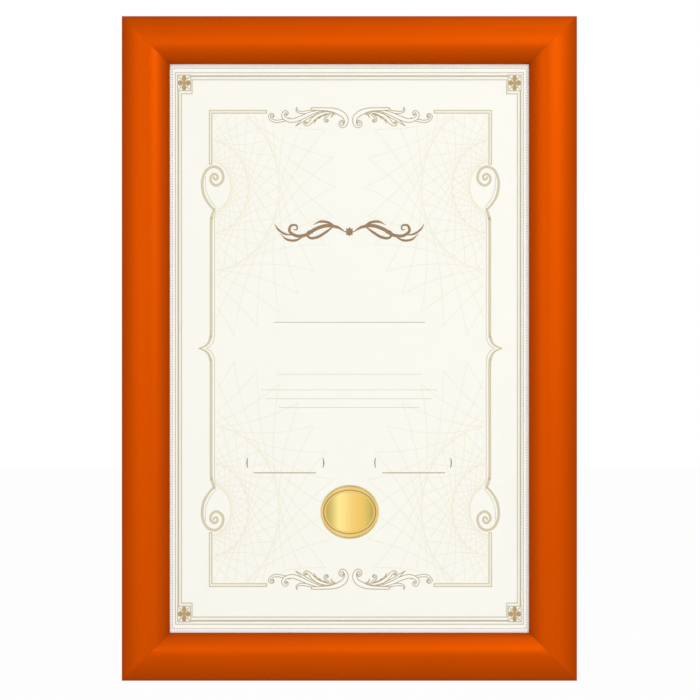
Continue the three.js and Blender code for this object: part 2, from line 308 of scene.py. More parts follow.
ALONG_X, ALONG_Z = (0.015, 1.0, 1.0), (1.0, 1.0, 0.015)
ANODISED = (0.60, 0.61, 0.62), (0.74, 0.75, 0.76), 0.42
TEMPERED = (0.24, 0.245, 0.26), (0.42, 0.42, 0.43), 0.30
base_metal = {
    axis: drawn_metal(f"anodised extrusion {axis}", *ANODISED, stretch, 2500.0, 0.16)
    for axis, stretch in (("x", ALONG_X), ("z", ALONG_Z))
}
spring_metal = {
    axis: drawn_metal(f"tempered strip {axis}", *TEMPERED, stretch, 3500.0, 0.12)
    for axis, stretch in (("x", ALONG_Z), ("z", ALONG_X))
}
zinc, tree, shader, grain = grained(
    "zinc plate", 0.50, (0.50, 0.52, 0.55), (0.70, 0.69, 0.62), 1800.0, 260.0, 0.08, metallic=1.0
)
give(shader, Roughness=varied(tree, grain["Cloud"], 0.42, 0.58))
black_oxide = grained(
    "black oxide", 0.42, (0.025, 0.025, 0.028), (0.085, 0.08, 0.078), 2600.0, 900.0, 0.10, metallic=0.85
)[0]

# %% [markdown]
# ## The rail's section
# A rail is one section carried along its length. In a section u runs in from the frame's outer face and
# v runs forward from the wall, both in millimetres. The cover's face is two arcs: one touches the hinge
# socket and one touches the small nose that presses on the sheets, and both are level at the crest.
# Sharp corners are softened by a tenth of a millimetre or so, as a die leaves them.

# %% Arcs and softened corners
def polar(degrees, length=1.0):
    """The point at a length and an angle from the origin."""
    return length * np.array([math.cos(math.radians(degrees)), math.sin(math.radians(degrees))])


def arc(centre, radius, start, end, step=4.0):
    """Points centre + radius (cos a, sin a), with a running evenly from start to end in degrees."""
    a = np.radians(np.linspace(start, end, max(1, math.ceil(abs(end - start) / step)) + 1))
    return np.column_stack([centre[0] + radius * np.cos(a), centre[1] + radius * np.sin(a)])


def outline(*stretches):
    """Stretches of points joined into one closed outline, counter-clockwise, with no point repeated."""
    p = np.concatenate([np.atleast_2d(np.asarray(s, float)) for s in stretches])
    p = p[np.linalg.norm(p - np.roll(p, 1, axis=0), axis=1) > 1e-5]
    x, y = p.T
    area = np.sum(x * np.roll(y, -1) - np.roll(x, -1) * y)
    return p if area > 0 else p[::-1]


def bent(a, corner, b, samples):
    """Points of the curve (1-t)^2 a + 2 t (1-t) corner + t^2 b, for t from 0 to 1."""
    t = np.linspace(0, 1, samples)[:, None]
    return (1 - t) ** 2 * a + 2 * t * (1 - t) * corner + t**2 * b


def softened(p, reach, samples=4, turn=20.0):
    """Each corner that turns by more than turn degrees is cut back by reach along both of its edges, and
    a curve that bends at the corner is drawn between the two cuts."""
    before, after = np.roll(p, 1, axis=0) - p, np.roll(p, -1, axis=0) - p
    lb, la = np.linalg.norm(before, axis=1), np.linalg.norm(after, axis=1)
    cosine = np.einsum("ij,ij->i", before, after) / (lb * la)
    bends = np.degrees(np.arccos(np.clip(-cosine, -1, 1))) > turn
    cut = np.where(bends, np.minimum(reach, 0.4 * np.minimum(lb, la)), 0.0)[:, None]
    a, b = p + before / lb[:, None] * cut, p + after / la[:, None] * cut
    return outline(bent(a[:, None], p[:, None], b[:, None], samples).reshape(-1, 2))


def angle_to(a, b):
    return math.degrees(math.atan2(b[1] - a[1], b[0] - a[0]))


# %% The hinge, the cover's section and the leg behind it
SOCKET_IN, SOCKET_OUT, TOE = 1.9, 3.1, 130.0
FACE_IN, PIVOT_UP = 0.15, 7.4
PIVOT = np.array([FACE_IN - SOCKET_OUT * math.cos(math.radians(TOE)), PIVOT_UP])
CREST = np.array([19.5, 15.0])
NOSE, NOSE_R = np.array([34.2, 8.2]), 0.8
SHELL, FOOT_IN = 1.3, 32.6
SEAT_REACH, SEAT_TURN, GROOVE = 4.65, -46.5, 0.6
SEAT = PIVOT + polar(SEAT_TURN, SEAT_REACH)
LAP, LAP_TURN, HEEL_TURN = 0.03, 15, -61.7
HEEL, BEHIND_GROOVE = 1.0, 0.7
SHELL_SOFT, LEG_SOFT = 0.15, 0.12


def face_arc(circle, radius):
    """The arc level at the crest that touches a circle of the given radius: with a across and b down from
    the crest to the circle's middle, its own radius is (a^2 + b^2 - r^2) / (2 (b - r))."""
    a, b = CREST - circle
    bend = (a * a + b * b - radius**2) / (2 * (b - radius))
    return np.array([CREST[0], CREST[1] - bend]), bend


outer_c, outer_r = face_arc(PIVOT, SOCKET_OUT)
inner_c, inner_r = face_arc(NOSE, NOSE_R)
under = outer_r - SHELL
apart = np.linalg.norm(outer_c - PIVOT)
meet = angle_to(outer_c, PIVOT) - math.degrees(
    math.acos((under**2 - apart**2 - SOCKET_OUT**2) / (2 * apart * SOCKET_OUT))
)
meet_point = arc(PIVOT, SOCKET_OUT, meet, meet)[0]
foot_angle = math.degrees(math.acos((FOOT_IN - inner_c[0]) / (inner_r - SHELL)))
shell_section = softened(
    outline(
        arc(PIVOT, SOCKET_IN, TOE, 0),
        arc(PIVOT, SOCKET_OUT, 0, meet),
        arc(outer_c, under, angle_to(outer_c, meet_point), 90, 1.0)[1:],
        arc(inner_c, inner_r - SHELL, 90, foot_angle, 1.5)[1:],
        (FOOT_IN, PIVOT[1]),
        arc(NOSE, NOSE_R, -90, angle_to(inner_c, NOSE), 7.5),
        arc(inner_c, inner_r, angle_to(inner_c, NOSE), 90, 1.0)[1:],
        arc(outer_c, outer_r, 90, angle_to(outer_c, PIVOT), 0.6)[1:],
        arc(PIVOT, SOCKET_OUT, angle_to(outer_c, PIVOT), TOE)[1:],
    ),
    SHELL_SOFT,
)
leg_section = softened(
    outline(
        arc(PIVOT, SOCKET_IN + LAP, LAP_TURN, 0),
        arc(PIVOT, SOCKET_IN, 0, HEEL_TURN),
        (SEAT[0] - GROOVE - HEEL, SEAT[1] - GROOVE - BEHIND_GROOVE),
        (SEAT[0], SEAT[1] - GROOVE - BEHIND_GROOVE),
        arc(SEAT, GROOVE, 270, 75, 15),
        arc(PIVOT, SOCKET_OUT, -12, 0),
        arc(PIVOT, SOCKET_OUT - LAP, 0, LAP_TURN),
    ),
    LEG_SOFT,
)
print("hinge line:", PIVOT, "mm in from the edge and up from the wall")
print("section points:", len(shell_section), "in the shell,", len(leg_section), "in the leg")


# %% [markdown]
# ## Carrying a section along a rail
# The same function makes covers, bases and springs. A mitred end is cut at 45 degrees: every point of
# the section stops at the rail's half length less its own u. The last tenth of a millimetre steps in
# along the section's normals, so that a cut edge catches the light as a real one does.

# %% The sweep
RAILS = {  # side: (point on the outer edge, direction along, direction inwards, length, grain axis)
    side: (*np.array(vectors, float), length, axis)
    for side, vectors, length, axis in (
        ("top", ((0, 0, OUTER_H / 2), (1, 0, 0), (0, 0, -1)), OUTER_W, "x"),
        ("right", ((OUTER_W / 2, 0, 0), (0, 0, -1), (-1, 0, 0)), OUTER_H, "z"),
        ("bottom", ((0, 0, -OUTER_H / 2), (-1, 0, 0), (0, 0, 1)), OUTER_W, "x"),
        ("left", ((-OUTER_W / 2, 0, 0), (0, 0, 1), (1, 0, 0)), OUTER_H, "z"),
    )
}
FORWARD = np.array([0.0, -1.0, 0.0])
ROUNDING = np.array([1.0, 0.3, 0.0])  # how far the three rings at an end step in, as shares of the ease


def outward(p):
    """Unit normals of a counter-clockwise outline: the mean of the two neighbouring edges' normals."""
    edge = np.roll(p, -1, axis=0) - p
    normal = np.column_stack([edge[:, 1], -edge[:, 0]]) / np.linalg.norm(edge, axis=1)[:, None]
    mean = normal + np.roll(normal, 1, axis=0)
    return mean / np.linalg.norm(mean, axis=1)[:, None]


def stepped_in(shape, ease):
    """Six copies of an outline: the first three and the last three step in towards the two ends."""
    insets = ease * np.concatenate([ROUNDING, ROUNDING[::-1]])
    return shape - outward(shape) * insets[:, None, None]


def tube(rings, n, ends=0):
    """The faces of a tube of rings with n points each: quads between the rings, and one face on each end."""
    s, p = np.meshgrid(np.arange(rings - 1), np.arange(n), indexing="ij")
    q = (p + 1) % n
    quads = np.stack([s * n + p, s * n + q, (s + 1) * n + q, (s + 1) * n + p], axis=-1).reshape(-1, 4)
    caps = np.array([np.arange(n)[::-1], (rings - 1) * n + np.arange(n)])
    return [(quads, 0), (caps, ends)]


def swept(side, section, start, end, mitre=1.0, ease=0.1, ends=1):
    """A section carried along a rail from start to end, in mm from the rail's middle.
    The point of station s and section point p is edge + along x + inwards u + forward v, where
    x = start + mitre u + pull at one end and end - mitre u - pull at the other."""
    edge, along, inward = RAILS[side][:3]
    uv, pulls = stepped_in(section, ease), ease * ROUNDING[::-1, None]
    u, v = uv[..., 0], uv[..., 1]
    x = np.concatenate([start + mitre * u[:3] + pulls, end - mitre * u[3:] - pulls[::-1]])
    points = edge + x[..., None] * along + u[..., None] * inward + v[..., None] * FORWARD
    return points.reshape(-1, 3) * MM, tube(6, len(section), ends)


# %% [markdown]
# ## The four covers
# Each cover is the rounded shell with the hinge socket along its outer edge, and a leg under the socket
# with a groove for the springs. The leg swings inwards as the cover opens, so it stops short of the
# corners. The mitres nearly touch, because a closed snap frame shows only a hair line there.

# %% Covers
MITRE_SHY, MITRE_EASE, LEG_STOP, WIDE = 0.015, 0.03, 8.41, 35.0


def mark(obj, name, values):
    """Stores one number for each point of a piece, for a material to read."""
    obj.data.attributes.new(name, "FLOAT", "POINT").data.foreach_set("value", values)


def mark_painted_edge_shade(obj, side):
    """Stores how near each point is to the rail's edges, for the painted shade there: the cube of its share
    of the way from the crest.
    """
    p = np.empty(len(obj.data.vertices) * 3, dtype=np.float32)
    obj.data.vertices.foreach_get("co", p)
    u = (p.reshape(-1, 3) / MM - RAILS[side][0]) @ RAILS[side][2]
    share = np.where(u < CREST[0], (CREST[0] - u) / CREST[0], (u - CREST[0]) / (WIDE - CREST[0]))
    mark(obj, "rim", np.clip(share, 0, 1) ** 3)


for side in RAILS:
    half = RAILS[side][3] / 2
    cover = new_piece(
        f"rail_cover_{side}",
        [
            swept(side, shell_section, -half + MITRE_SHY, half - MITRE_SHY, ease=MITRE_EASE),
            swept(side, leg_section, -half + LEG_STOP, half - LEG_STOP, mitre=0),
        ],
        [coat, sawn],
        f"{side}_cover",
        [f"cover_{side}"],
    )
    mark_painted_edge_shade(cover, side)

# %% [markdown]
# ## The four bases
# A base is screwed to the wall. Its bead carries the cover, its slot takes the corner keys, its rib keeps
# the sheets in place and its ledge carries their edge. The fixing holes are bored with a boolean, each
# with a small countersink on both faces, because that is how the real hole is made: drilled after the
# extrusion is cut.

# %% Bases
BEAD, NECK, WALL = 1.6, 1.2, 1.2
SHOULDER = SOCKET_OUT + 0.3
RIB_IN, RIB_OUT, RIB_HIGH, SLOT_OUT = 25.6, 24.4, 7.7, 12.2
LIP, LIP_LOW, LIP_HIGH = 1.6, 3.9, 5.1
LEDGE_BACK, LEDGE_FRONT, LEDGE_FOOT, LEDGE_END = 3.0, 4.2, 32.2, 33.4
NOTCH, NOTCH_LOW = 0.8, 7.0
BASE_SHY, BASE_EASE, BASE_SOFT = 0.15, 0.08, 0.18
neck_turn = math.degrees(math.asin(NECK / 2 / BEAD))
shoulder_turn = math.degrees(math.asin(NECK / 2 / SHOULDER))
rim_turn = math.degrees(math.acos(-PIVOT[0] / SHOULDER))
web = PIVOT[1] - SOCKET_OUT - WALL
base_section = softened(
    outline(
        (0, 0), (RIB_IN, 0), (RIB_IN, LEDGE_BACK), (LEDGE_FOOT, LEDGE_BACK), (LEDGE_FOOT, 0), (LEDGE_END, 0),
        (LEDGE_END, LEDGE_FRONT), (RIB_IN, LEDGE_FRONT), (RIB_IN, RIB_HIGH), (RIB_OUT - NOTCH, RIB_HIGH),
        (RIB_OUT - NOTCH, NOTCH_LOW), (RIB_OUT, NOTCH_LOW), (RIB_OUT, LIP_HIGH), (RIB_OUT - LIP, LIP_HIGH),
        (RIB_OUT - LIP, LIP_LOW), (RIB_OUT, LIP_LOW), (RIB_OUT, WALL),
        (SLOT_OUT, WALL), (SLOT_OUT, LIP_LOW), (SLOT_OUT + LIP, LIP_LOW), (SLOT_OUT + LIP, LIP_HIGH),
        (SLOT_OUT - WALL, LIP_HIGH), (SLOT_OUT - WALL, WALL), (WALL, WALL), (WALL, web),
        (PIVOT[0] + NECK / 2, web),
        arc(PIVOT, BEAD, -90 + neck_turn, 270 - neck_turn, 7.5),
        arc(PIVOT, SHOULDER, 270 - shoulder_turn, 360 - rim_turn, 5),
    ),
    BASE_SOFT,
)  # fmt: skip
HOLE_R, HOLE_IN, HOLE_FROM_END = 2.25, 18.3, 75.0
SINK, PAST_BACK, PAST_FRONT = 0.25, 1.0, 0.8  # countersink, and how far the drill stands out on each side


def turned(x, z, radii, depths, turns=48, flat=1.0):
    """A closed surface of rings about the line square to the wall at (x, z), in mm. A ring's radius is
    one value or one for each of its points, and its depth is in front of the wall. A point closes each
    end. A point of a ring is (x + r cos a, z + flat r sin a)."""
    a = np.linspace(0, 2 * np.pi, turns, endpoint=False)
    r = np.array([np.broadcast_to(ring, turns) for ring in radii])
    v = np.broadcast_to(np.array(depths, float)[:, None], r.shape)
    rings = np.stack([x + r * np.cos(a), -v, z + flat * r * np.sin(a)], axis=-1)
    poles = [[x, -depths[0], z], [x, -depths[-1], z]]
    j, top = np.arange(turns), (len(r) - 1) * turns
    i = (j + 1) % turns
    pole = np.full(turns, r.size)
    fans = np.concatenate([np.stack([i, j, pole], axis=-1), np.stack([top + j, top + i, pole + 1], axis=-1)])
    return np.concatenate([rings.reshape(-1, 3), poles]) * MM, [tube(len(r), turns)[0], (fans, 0)]


def bored(obj, cutter):
    """Cuts the cutter's shape out of the piece and applies the result to its mesh."""
    cut = obj.modifiers.new("bored", "BOOLEAN")
    cut.operation, cut.solver, cut.object = "DIFFERENCE", "MANIFOLD", cutter
    obj.modifiers.move(len(obj.modifiers) - 1, 0)
    with bpy.context.temp_override(object=obj, active_object=obj):
        bpy.ops.object.modifier_apply(modifier=cut.name)
    bpy.data.objects.remove(cutter)
    obj.data.set_sharp_from_angle(angle=math.radians(SHARP_TURN))


drill_radii = [HOLE_R + SINK + PAST_BACK, HOLE_R, HOLE_R, HOLE_R + SINK + PAST_FRONT]
drill_depths = [-PAST_BACK, SINK, WALL - SINK, WALL + PAST_FRONT]
for side, (edge, along, inward, length, axis) in RAILS.items():
    base = new_piece(
        f"rail_base_{side}",
        [swept(side, base_section, BASE_SHY - length / 2, length / 2 - BASE_SHY, ease=BASE_EASE)],
        [base_metal[axis], sawn],
        "frame",
        [f"base_{side}"],
    )
    middle, step = edge + HOLE_IN * inward, (length / 2 - HOLE_FROM_END) * along
    drill = [turned(x, z, drill_radii, drill_depths) for x, _, z in (middle - step, middle + step)]
    bored(base, new_piece("drill", drill, [], None))

# %% [markdown]
# ## The leaf springs
# A leaf is a bowed strip of spring steel between the groove in a cover's leg and the base's rib. When
# the cover turns, the groove end goes with it and the rib end stays. Here each leaf is made in its closed
# shape and follows neither body.

# %% Springs
STRIP, BOW, STRIP_WIDE = 0.5, 3.3, 40.0
SPRING_SHY, SPRING_EASE, SPRING_SOFT = 0.35, 0.12, 0.14
SPRING_END = np.array([RIB_OUT - SPRING_SHY, LIP_HIGH + SPRING_SHY + STRIP / 2])
chord = np.linalg.norm(SPRING_END - SEAT)
leaf_r = chord**2 / (8 * BOW) + BOW / 2
leaf_half = math.degrees(math.asin(chord / 2 / leaf_r))
leaf_facing = angle_to(SEAT, SPRING_END) + 90
leaf_c = (SEAT + SPRING_END) / 2 + polar(leaf_facing, BOW - leaf_r)
leaf_section = softened(
    outline(
        arc(leaf_c, leaf_r - STRIP / 2, leaf_facing + leaf_half, leaf_facing - leaf_half, 1.5),
        arc(leaf_c, leaf_r + STRIP / 2, leaf_facing - leaf_half, leaf_facing + leaf_half, 1.5),
    ),
    SPRING_SOFT,
    turn=40,
)
BEND_FROM, BEND_TO = (14.0, 5.0), (4.5, 4.4)
for side, (edge, along, inward, length, axis) in RAILS.items():
    for end, sign in (("a", -1), ("b", 1)):
        middle = sign * (length / 2 - HOLE_FROM_END) / 2
        start, end_at = middle - STRIP_WIDE / 2, middle + STRIP_WIDE / 2
        strip = swept(side, leaf_section, start, end_at, mitre=0, ease=SPRING_EASE, ends=0)
        leaf = new_piece(
            f"leaf_spring_{side}_{end}", [strip], [spring_metal[axis]], None,
            [f"spring_{side}_{end}"],
        )  # fmt: skip
        at = edge + along * middle
        start, stop = ((at + u * inward + v * FORWARD) * MM for u, v in (BEND_FROM, BEND_TO))
        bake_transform(leaf)

# %% [markdown]
# ## Corner keys and grub screws
# An L-shaped zinc-plated plate lies in the slots of two bases and holds the corner square. Two black grub
# screws in it are driven down against the bases. The key is its outline carried through the thickness,
# with the two holes bored through it.

# %% Plates: an outline carried through a thickness
def plate(shape, back, front, ease):
    """An outline of (x, z) in mm carried from depth back to depth front (towards the viewer), with both
    edges stepped in along the outline's normals over the distance ease."""
    depth = np.concatenate([back + ease * ROUNDING[::-1], front - ease * ROUNDING])
    xz = stepped_in(shape, ease)
    points = np.stack([xz[..., 0], np.broadcast_to(-depth[:, None], xz.shape[:2]), xz[..., 1]], axis=-1)
    return points.reshape(-1, 3) * MM, tube(6, len(shape))


# %% Keys
KEY_ROOM, KEY_REACH, KEY_THICK, KEY_CORNER, KEY_EASE = 0.3, 65.0, 2.1, 1.1, 0.15
KEY_NEAR, KEY_FAR, KEY_BACK = SLOT_OUT + KEY_ROOM, RIB_OUT - KEY_ROOM, WALL + KEY_ROOM
SCREW_R, SCREW_ROOM, DRILL_FROM, DRILL_TO = 2.0, 0.3, -1.0, 9.0
CORNERS = {"top_left": (-1, 1), "top_right": (1, 1), "bottom_right": (1, -1), "bottom_left": (-1, -1)}
key_shape = softened(
    outline(
        (KEY_NEAR, KEY_NEAR), (KEY_REACH, KEY_NEAR), (KEY_REACH, KEY_FAR), (KEY_FAR, KEY_FAR),
        (KEY_FAR, KEY_REACH), (KEY_NEAR, KEY_REACH),
    ),
    KEY_CORNER,
    samples=7,
)  # fmt: skip


def screw_places(corner):
    """The middles (x, z) of the corner's two screws in mm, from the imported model."""
    boxes = [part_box(f"grub_screw_{corner}_{end}") for end in "ab"]
    return [((low.x + high.x) / 2 / MM, (low.z + high.z) / 2 / MM) for low, high in boxes]


for corner, (sx, sz) in CORNERS.items():
    shape = outline((np.array([OUTER_W / 2, OUTER_H / 2]) - key_shape) * (sx, sz))
    key = new_piece(
        f"zinc_key_{corner}",
        [plate(shape, KEY_BACK, KEY_BACK + KEY_THICK, KEY_EASE)],
        [zinc],
        "frame",
        [f"corner_key_{corner}"],
    )
    radii, depths = [SCREW_R + SCREW_ROOM] * 2, [DRILL_FROM, DRILL_TO]
    drill = [turned(x, z, radii, depths) for x, z in screw_places(corner)]
    bored(key, new_piece("drill", drill, [], None))

# %% [markdown]
# A screw is one surface in rings, from its point up the thread, over the rim and down into the socket.
# On the thread the radius drops by the thread's depth times |2 frac(height / pitch - turn) - 1|, which
# winds a ridge round it. In the socket it is half the width across flats over the cosine of the turn from
# the nearest flat's middle, which makes a hexagon.

# %% Grub screws
SCREW_LONG, PITCH, THREAD, FLATS, TURNS = 3.6, 0.7, 0.22, 2.0, 72
THREAD_FROM, THREAD_RINGS = 0.45, 34
THREAD_TO = SCREW_LONG - 0.25
a = np.linspace(0, 2 * np.pi, TURNS, endpoint=False)
thread_up = np.linspace(THREAD_FROM, THREAD_TO, THREAD_RINGS)
thread = SCREW_R - THREAD * np.abs(2 * ((thread_up[:, None] / PITCH - a / (2 * np.pi)) % 1) - 1)
hexagon = FLATS / 2 / np.cos((a + np.pi / 6) % (np.pi / 3) - np.pi / 6)
screw_radii = [0.9, 1.4, *thread, 1.72, 1.6, hexagon * 1.14, hexagon, hexagon, 0.5]
screw_rise = [0, 0.02, *thread_up, *(SCREW_LONG - down for down in (0.04, 0, 0, 0.16, 1.8, 2.1))]
for corner in CORNERS:
    for end, (x, z) in zip("ab", screw_places(corner)):
        new_piece(
            f"black_screw_{corner}_{end}",
            [turned(x, z, screw_radii, KEY_BACK + np.array(screw_rise), TURNS)],
            [black_oxide],
            "frame",
            [f"grub_screw_{corner}_{end}"],
            sharp=40,
        )

# %% [markdown]
# ## Panel, paper and clear sheet
# The three sheets are plain cut rectangles. What tells them apart is their surface: the panel is extruded
# white plastic, the paper has a fibre grain, and the clear sheet shows only what it reflects.

# %% Plastic and paper
panel_plastic, tree, shader, place = finish("white polystyrene", 0.55, specular=0.4)
grain = textured(tree, place, grain_group, Grain_per_metre=1400.0, Cloud_per_metre=6.0)
lines = textured(tree, place, lines_group, Stretch=(1.0, 1.0, 0.02), Lines_per_metre=420.0)
white = mix_colours(tree, grain["Cloud"], (0.70, 0.70, 0.68), (0.78, 0.78, 0.765))
give(shader, Base_Color=white, Roughness=varied(tree, lines["Lines"], 0.46, 0.62))
relief(tree, shader, grain["Grain"], 0.10, 0.0002)

paper = grained(
    "ivory paper", 0.85, (0.98, 0.97, 0.93), (1.0, 0.99, 0.95), 2400.0, 45.0, 0.06, specular=0.15
)[0]

# %% [markdown]
# A clear sheet this thin lets light straight through, so it is drawn as a mirror that is almost all
# see-through: the share that it reflects is 0.04 facing the eye and rises to 1 at a grazing angle, by
# Schlick's rule 0.04 + 0.96 (1 - cos)^5. Real refraction would only darken and blur the print.

# %% Clear plastic
STRAIGHT_ON = 0.04
clear, tree, shader, place = finish("clear sheet", 0.06, metallic=1.0, Base_Color=(0.96, 0.98, 0.98, 1))
grain = textured(tree, place, grain_group, Grain_per_metre=30.0, Cloud_per_metre=4.0)
steep = maths(tree, "POWER", node(tree, "LayerWeight", Blend=0.5).outputs["Facing"], 5.0)
mirrored = maths(tree, "ADD", maths(tree, "MULTIPLY", steep, 1 - STRAIGHT_ON), STRAIGHT_ON, True)
give(shader, Alpha=mirrored, Roughness=varied(tree, grain["Cloud"], 0.04, 0.09))
relief(tree, shader, grain["Grain"], 0.02, 0.0002)

# %% The three sheets
SHEET_W, SHEET_H, SHEET_CORNER, SHEET_EASE = 279.4, 431.8, 0.6, 0.06
PRINT_FRONT = 6.25
SQUARE = np.array([(-1, -1), (1, -1), (1, 1), (-1, 1)])
sheet_shape = softened(outline(SQUARE * (SHEET_W / 2, SHEET_H / 2)), SHEET_CORNER, samples=5)
for name, back, front, material, slot, carried in (
    ("white_panel", 4.35, 5.85, panel_plastic, "panel_plastic", "backing_panel"),
    ("certificate_paper", 6.0, PRINT_FRONT, paper, "print_paper", "certificate"),
    ("clear_cover_sheet", 6.4, 7.1, clear, "clear_plastic", "clear_sheet"),
):
    sheet = plate(sheet_shape, back, front, SHEET_EASE)
    new_piece(name, [sheet], [material], "frame", [carried])

# %% [markdown]
# ## The printed ornament
# The print is line work: a border of thin lines with a block in each corner, a panel with scrolls and
# volutes, a fine net of stars in the ground, ruled lines and a foil seal. Nothing is written on it.
# Each line is a ribbon that follows a path, standing a few hundredths of a millimetre on the paper, so it
# stays crisp at any distance where a painted texture would blur.

# %% Paths, ribbons and slabs, all in mm on the paper with x to the right and z up
LEFT_RIGHT = ((1, 1), (-1, 1))
QUARTERS = (*LEFT_RIGHT, (1, -1), (-1, -1))
PANEL_AXIS, SPOT_TURNS, LEAST_AREA = 0.73, 8, 1e-9


def smooth(points, per):
    """A Catmull-Rom curve through the points: on each stretch half of
    2 b + (c - a) t + (2 a - 5 b + 4 c - d) t^2 + (3 b - a - 3 c + d) t^3."""
    p = np.asarray(points, float)
    p = np.concatenate([[2 * p[0] - p[1]], p, [2 * p[-1] - p[-2]]])
    a, b, c, d = (p[i : len(p) - 3 + i, None] for i in range(4))
    t = np.linspace(0, 1, per, endpoint=False)[None, :, None]
    curve = (2 * b + (c - a) * t + (2 * a - 5 * b + 4 * c - d) * t**2 + (3 * b - a - 3 * c + d) * t**3) / 2
    return np.concatenate([curve.reshape(-1, p.shape[1]), p[-2:-1]])


def sides(path, width, closed=False):
    """The two edges of a ribbon: path + and - half the width along the joint's normal, made longer by
    1 / cos of half the turn so that the ribbon keeps its width round a corner."""
    step = (np.roll(path, -1, axis=0) if closed else np.concatenate([path[1:], path[-1:]])) - path
    if not closed:
        step[-1] = step[-2]
    step = step / np.linalg.norm(step, axis=1)[:, None]
    last = np.roll(step, 1, axis=0)
    if not closed:
        last[0] = step[0]
    normal = np.column_stack([-(step + last)[:, 1], (step + last)[:, 0]])
    normal /= np.maximum(np.linalg.norm(normal, axis=1), 1e-6)[:, None]
    stretch = 1 / np.clip(normal[:, 0] * -step[:, 1] + normal[:, 1] * step[:, 0], 0.5, 1)
    reach = normal * (stretch * np.broadcast_to(width, len(path)) / 2)[:, None]
    return path + reach, path - reach


def ribbon(path, width, closed=False, kept=None, climb=0.008):
    """A flat strip of quads along a path. kept says which points have ink. The strip climbs a little along
    its way, so that where it crosses itself one stretch is plainly above the other."""
    path = np.asarray(path, float)
    left, right = sides(path, width, closed)
    n = len(path)
    i = np.arange(n if closed else n - 1)
    if kept is not None:
        i = i[kept[i] & kept[(i + 1) % n]]
    j = (i + 1) % n
    faces = np.stack([n + i, n + j, j, i], axis=-1)
    return np.concatenate([left, right]), faces, np.tile(np.linspace(0, climb, n), 2)


def spots(centres, radius):
    """A small disc at each centre: centre + radius (cos a, sin a)."""
    a = np.linspace(0, 2 * np.pi, SPOT_TURNS, endpoint=False)
    rim = np.asarray(centres, float)[:, None] + np.column_stack([np.cos(a), np.sin(a)]) * radius
    n = len(centres) * SPOT_TURNS
    return rim.reshape(-1, 2), np.arange(n).reshape(-1, SPOT_TURNS), np.zeros(n)


def box_shape(x0, x1, z0, z1):
    return np.array([(x0, z0), (x1, z0), (x1, z1), (x0, z1)], float), np.array([[0, 1, 2, 3]]), np.zeros(4)


def copies(shapes, flips=QUARTERS, axis=0.0):
    """Mirror images of the shapes about x = axis and z = 0, by default one in each quarter of the sheet."""
    middle = np.array([axis, 0.0])
    return [((points - middle) * flip + middle, *rest) for flip in flips for points, *rest in shapes]


def slab(shape, lift):
    """The shape as a closed slab from the paper up to its height plus lift: front, back and a wall on every
    open edge. An edge is open if no other face runs along it the other way. A face that is turned over,
    where a ribbon folds inside a tight curl, is left out."""
    points, faces, height = shape
    x, z = points[faces, 0], points[faces, 1]
    area = np.sum(x * np.roll(z, -1, axis=1) - np.roll(x, -1, axis=1) * z, axis=1)
    turn = 1 if area.sum() > 0 else -1
    faces = faces[:, ::turn][area * turn > LEAST_AREA]
    used, flat = np.unique(faces, return_inverse=True)
    points, height, faces, n = points[used], height[used] + lift, flat.reshape(faces.shape), len(used)
    a, b = faces.ravel(), np.roll(faces, -1, axis=1).ravel()
    open_edge = ~np.isin(a * n + b, b * n + a)
    a, b = a[open_edge], b[open_edge]
    front = np.column_stack([points[:, 0], -PRINT_FRONT - height, points[:, 1]])
    back = np.column_stack([points[:, 0], np.full(n, -PRINT_FRONT), points[:, 1]])
    wall = np.stack([a, a + n, b + n, b], axis=-1)
    return np.concatenate([front, back]) * MM, [(faces, 0), (faces[:, ::-1] + n, 0), (wall, 0)]


# %% Inks
def ink(name, written):
    """Ink of a written sRGB colour. A little paper shows through its grain."""
    linear = [((c / 255 + 0.055) / 1.055) ** 2.4 for c in written]
    full, thin = tuple(c * 0.92 for c in linear), tuple(min(1.0, c * 1.07 + 0.01) for c in linear)
    material, tree, shader, place = finish(name, 0.6, specular=0.2)
    grain = textured(tree, place, grain_group, Grain_per_metre=5200.0, Cloud_per_metre=60.0)
    colour = mix_colours(tree, grain["Grain"], full, thin)
    give(shader, Base_Color=colour, Roughness=varied(tree, grain["Cloud"], 0.54, 0.66))
    return material


INKS = {
    name: ink(name, written)
    for name, written in (
        ("ivory ground", (252, 248, 238)),
        ("guilloche ink", (236, 230, 203)),
        ("bead ink", (186, 180, 156)),
        ("outer line ink", (206, 200, 175)),
        ("border ink", (188, 174, 136)),
        ("thin line ink", (202, 196, 168)),
        ("side line ink", (219, 207, 176)),
        ("stroke edge ink", (198, 182, 146)),
        ("pale line ink", (212, 205, 180)),
        ("cream tint", (250, 242, 224)),
        ("leaf tint", (255, 250, 240)),
        ("panel line ink", (197, 184, 152)),
        ("scroll ink", (170, 151, 98)),
        ("corner block ink", (180, 148, 84)),
        ("rule ink", (158, 134, 72)),
        ("bracket ink", (116, 96, 48)),
        ("brown ink", (146, 108, 58)),
    )
}

# %% Heights above the paper in mm, from the ground up
GROUND_LIFT, NET_LIFT, UNDER_LIFT, SIDE_LIFT, INK_LIFT, OVER_LIFT = 0.006, 0.010, 0.020, 0.030, 0.040, 0.060
STEP_UP, STEPS = 0.0015, 8


def printed(name, shapes, lift, ink_name):
    """One ink piece from its shapes. Neighbours in the list differ in height, so none of them coincide."""
    slabs = [slab(shape, lift + STEP_UP * (k % STEPS)) for k, shape in enumerate(shapes)]
    new_piece(name, slabs, [INKS[ink_name]], "frame")


# %% [markdown]
# ### Border
# From outside: a line of beads, a thin line, a broad line that runs between the corner blocks, and an
# inner thin line that steps round them. Each block is a square with a four-petal cross.

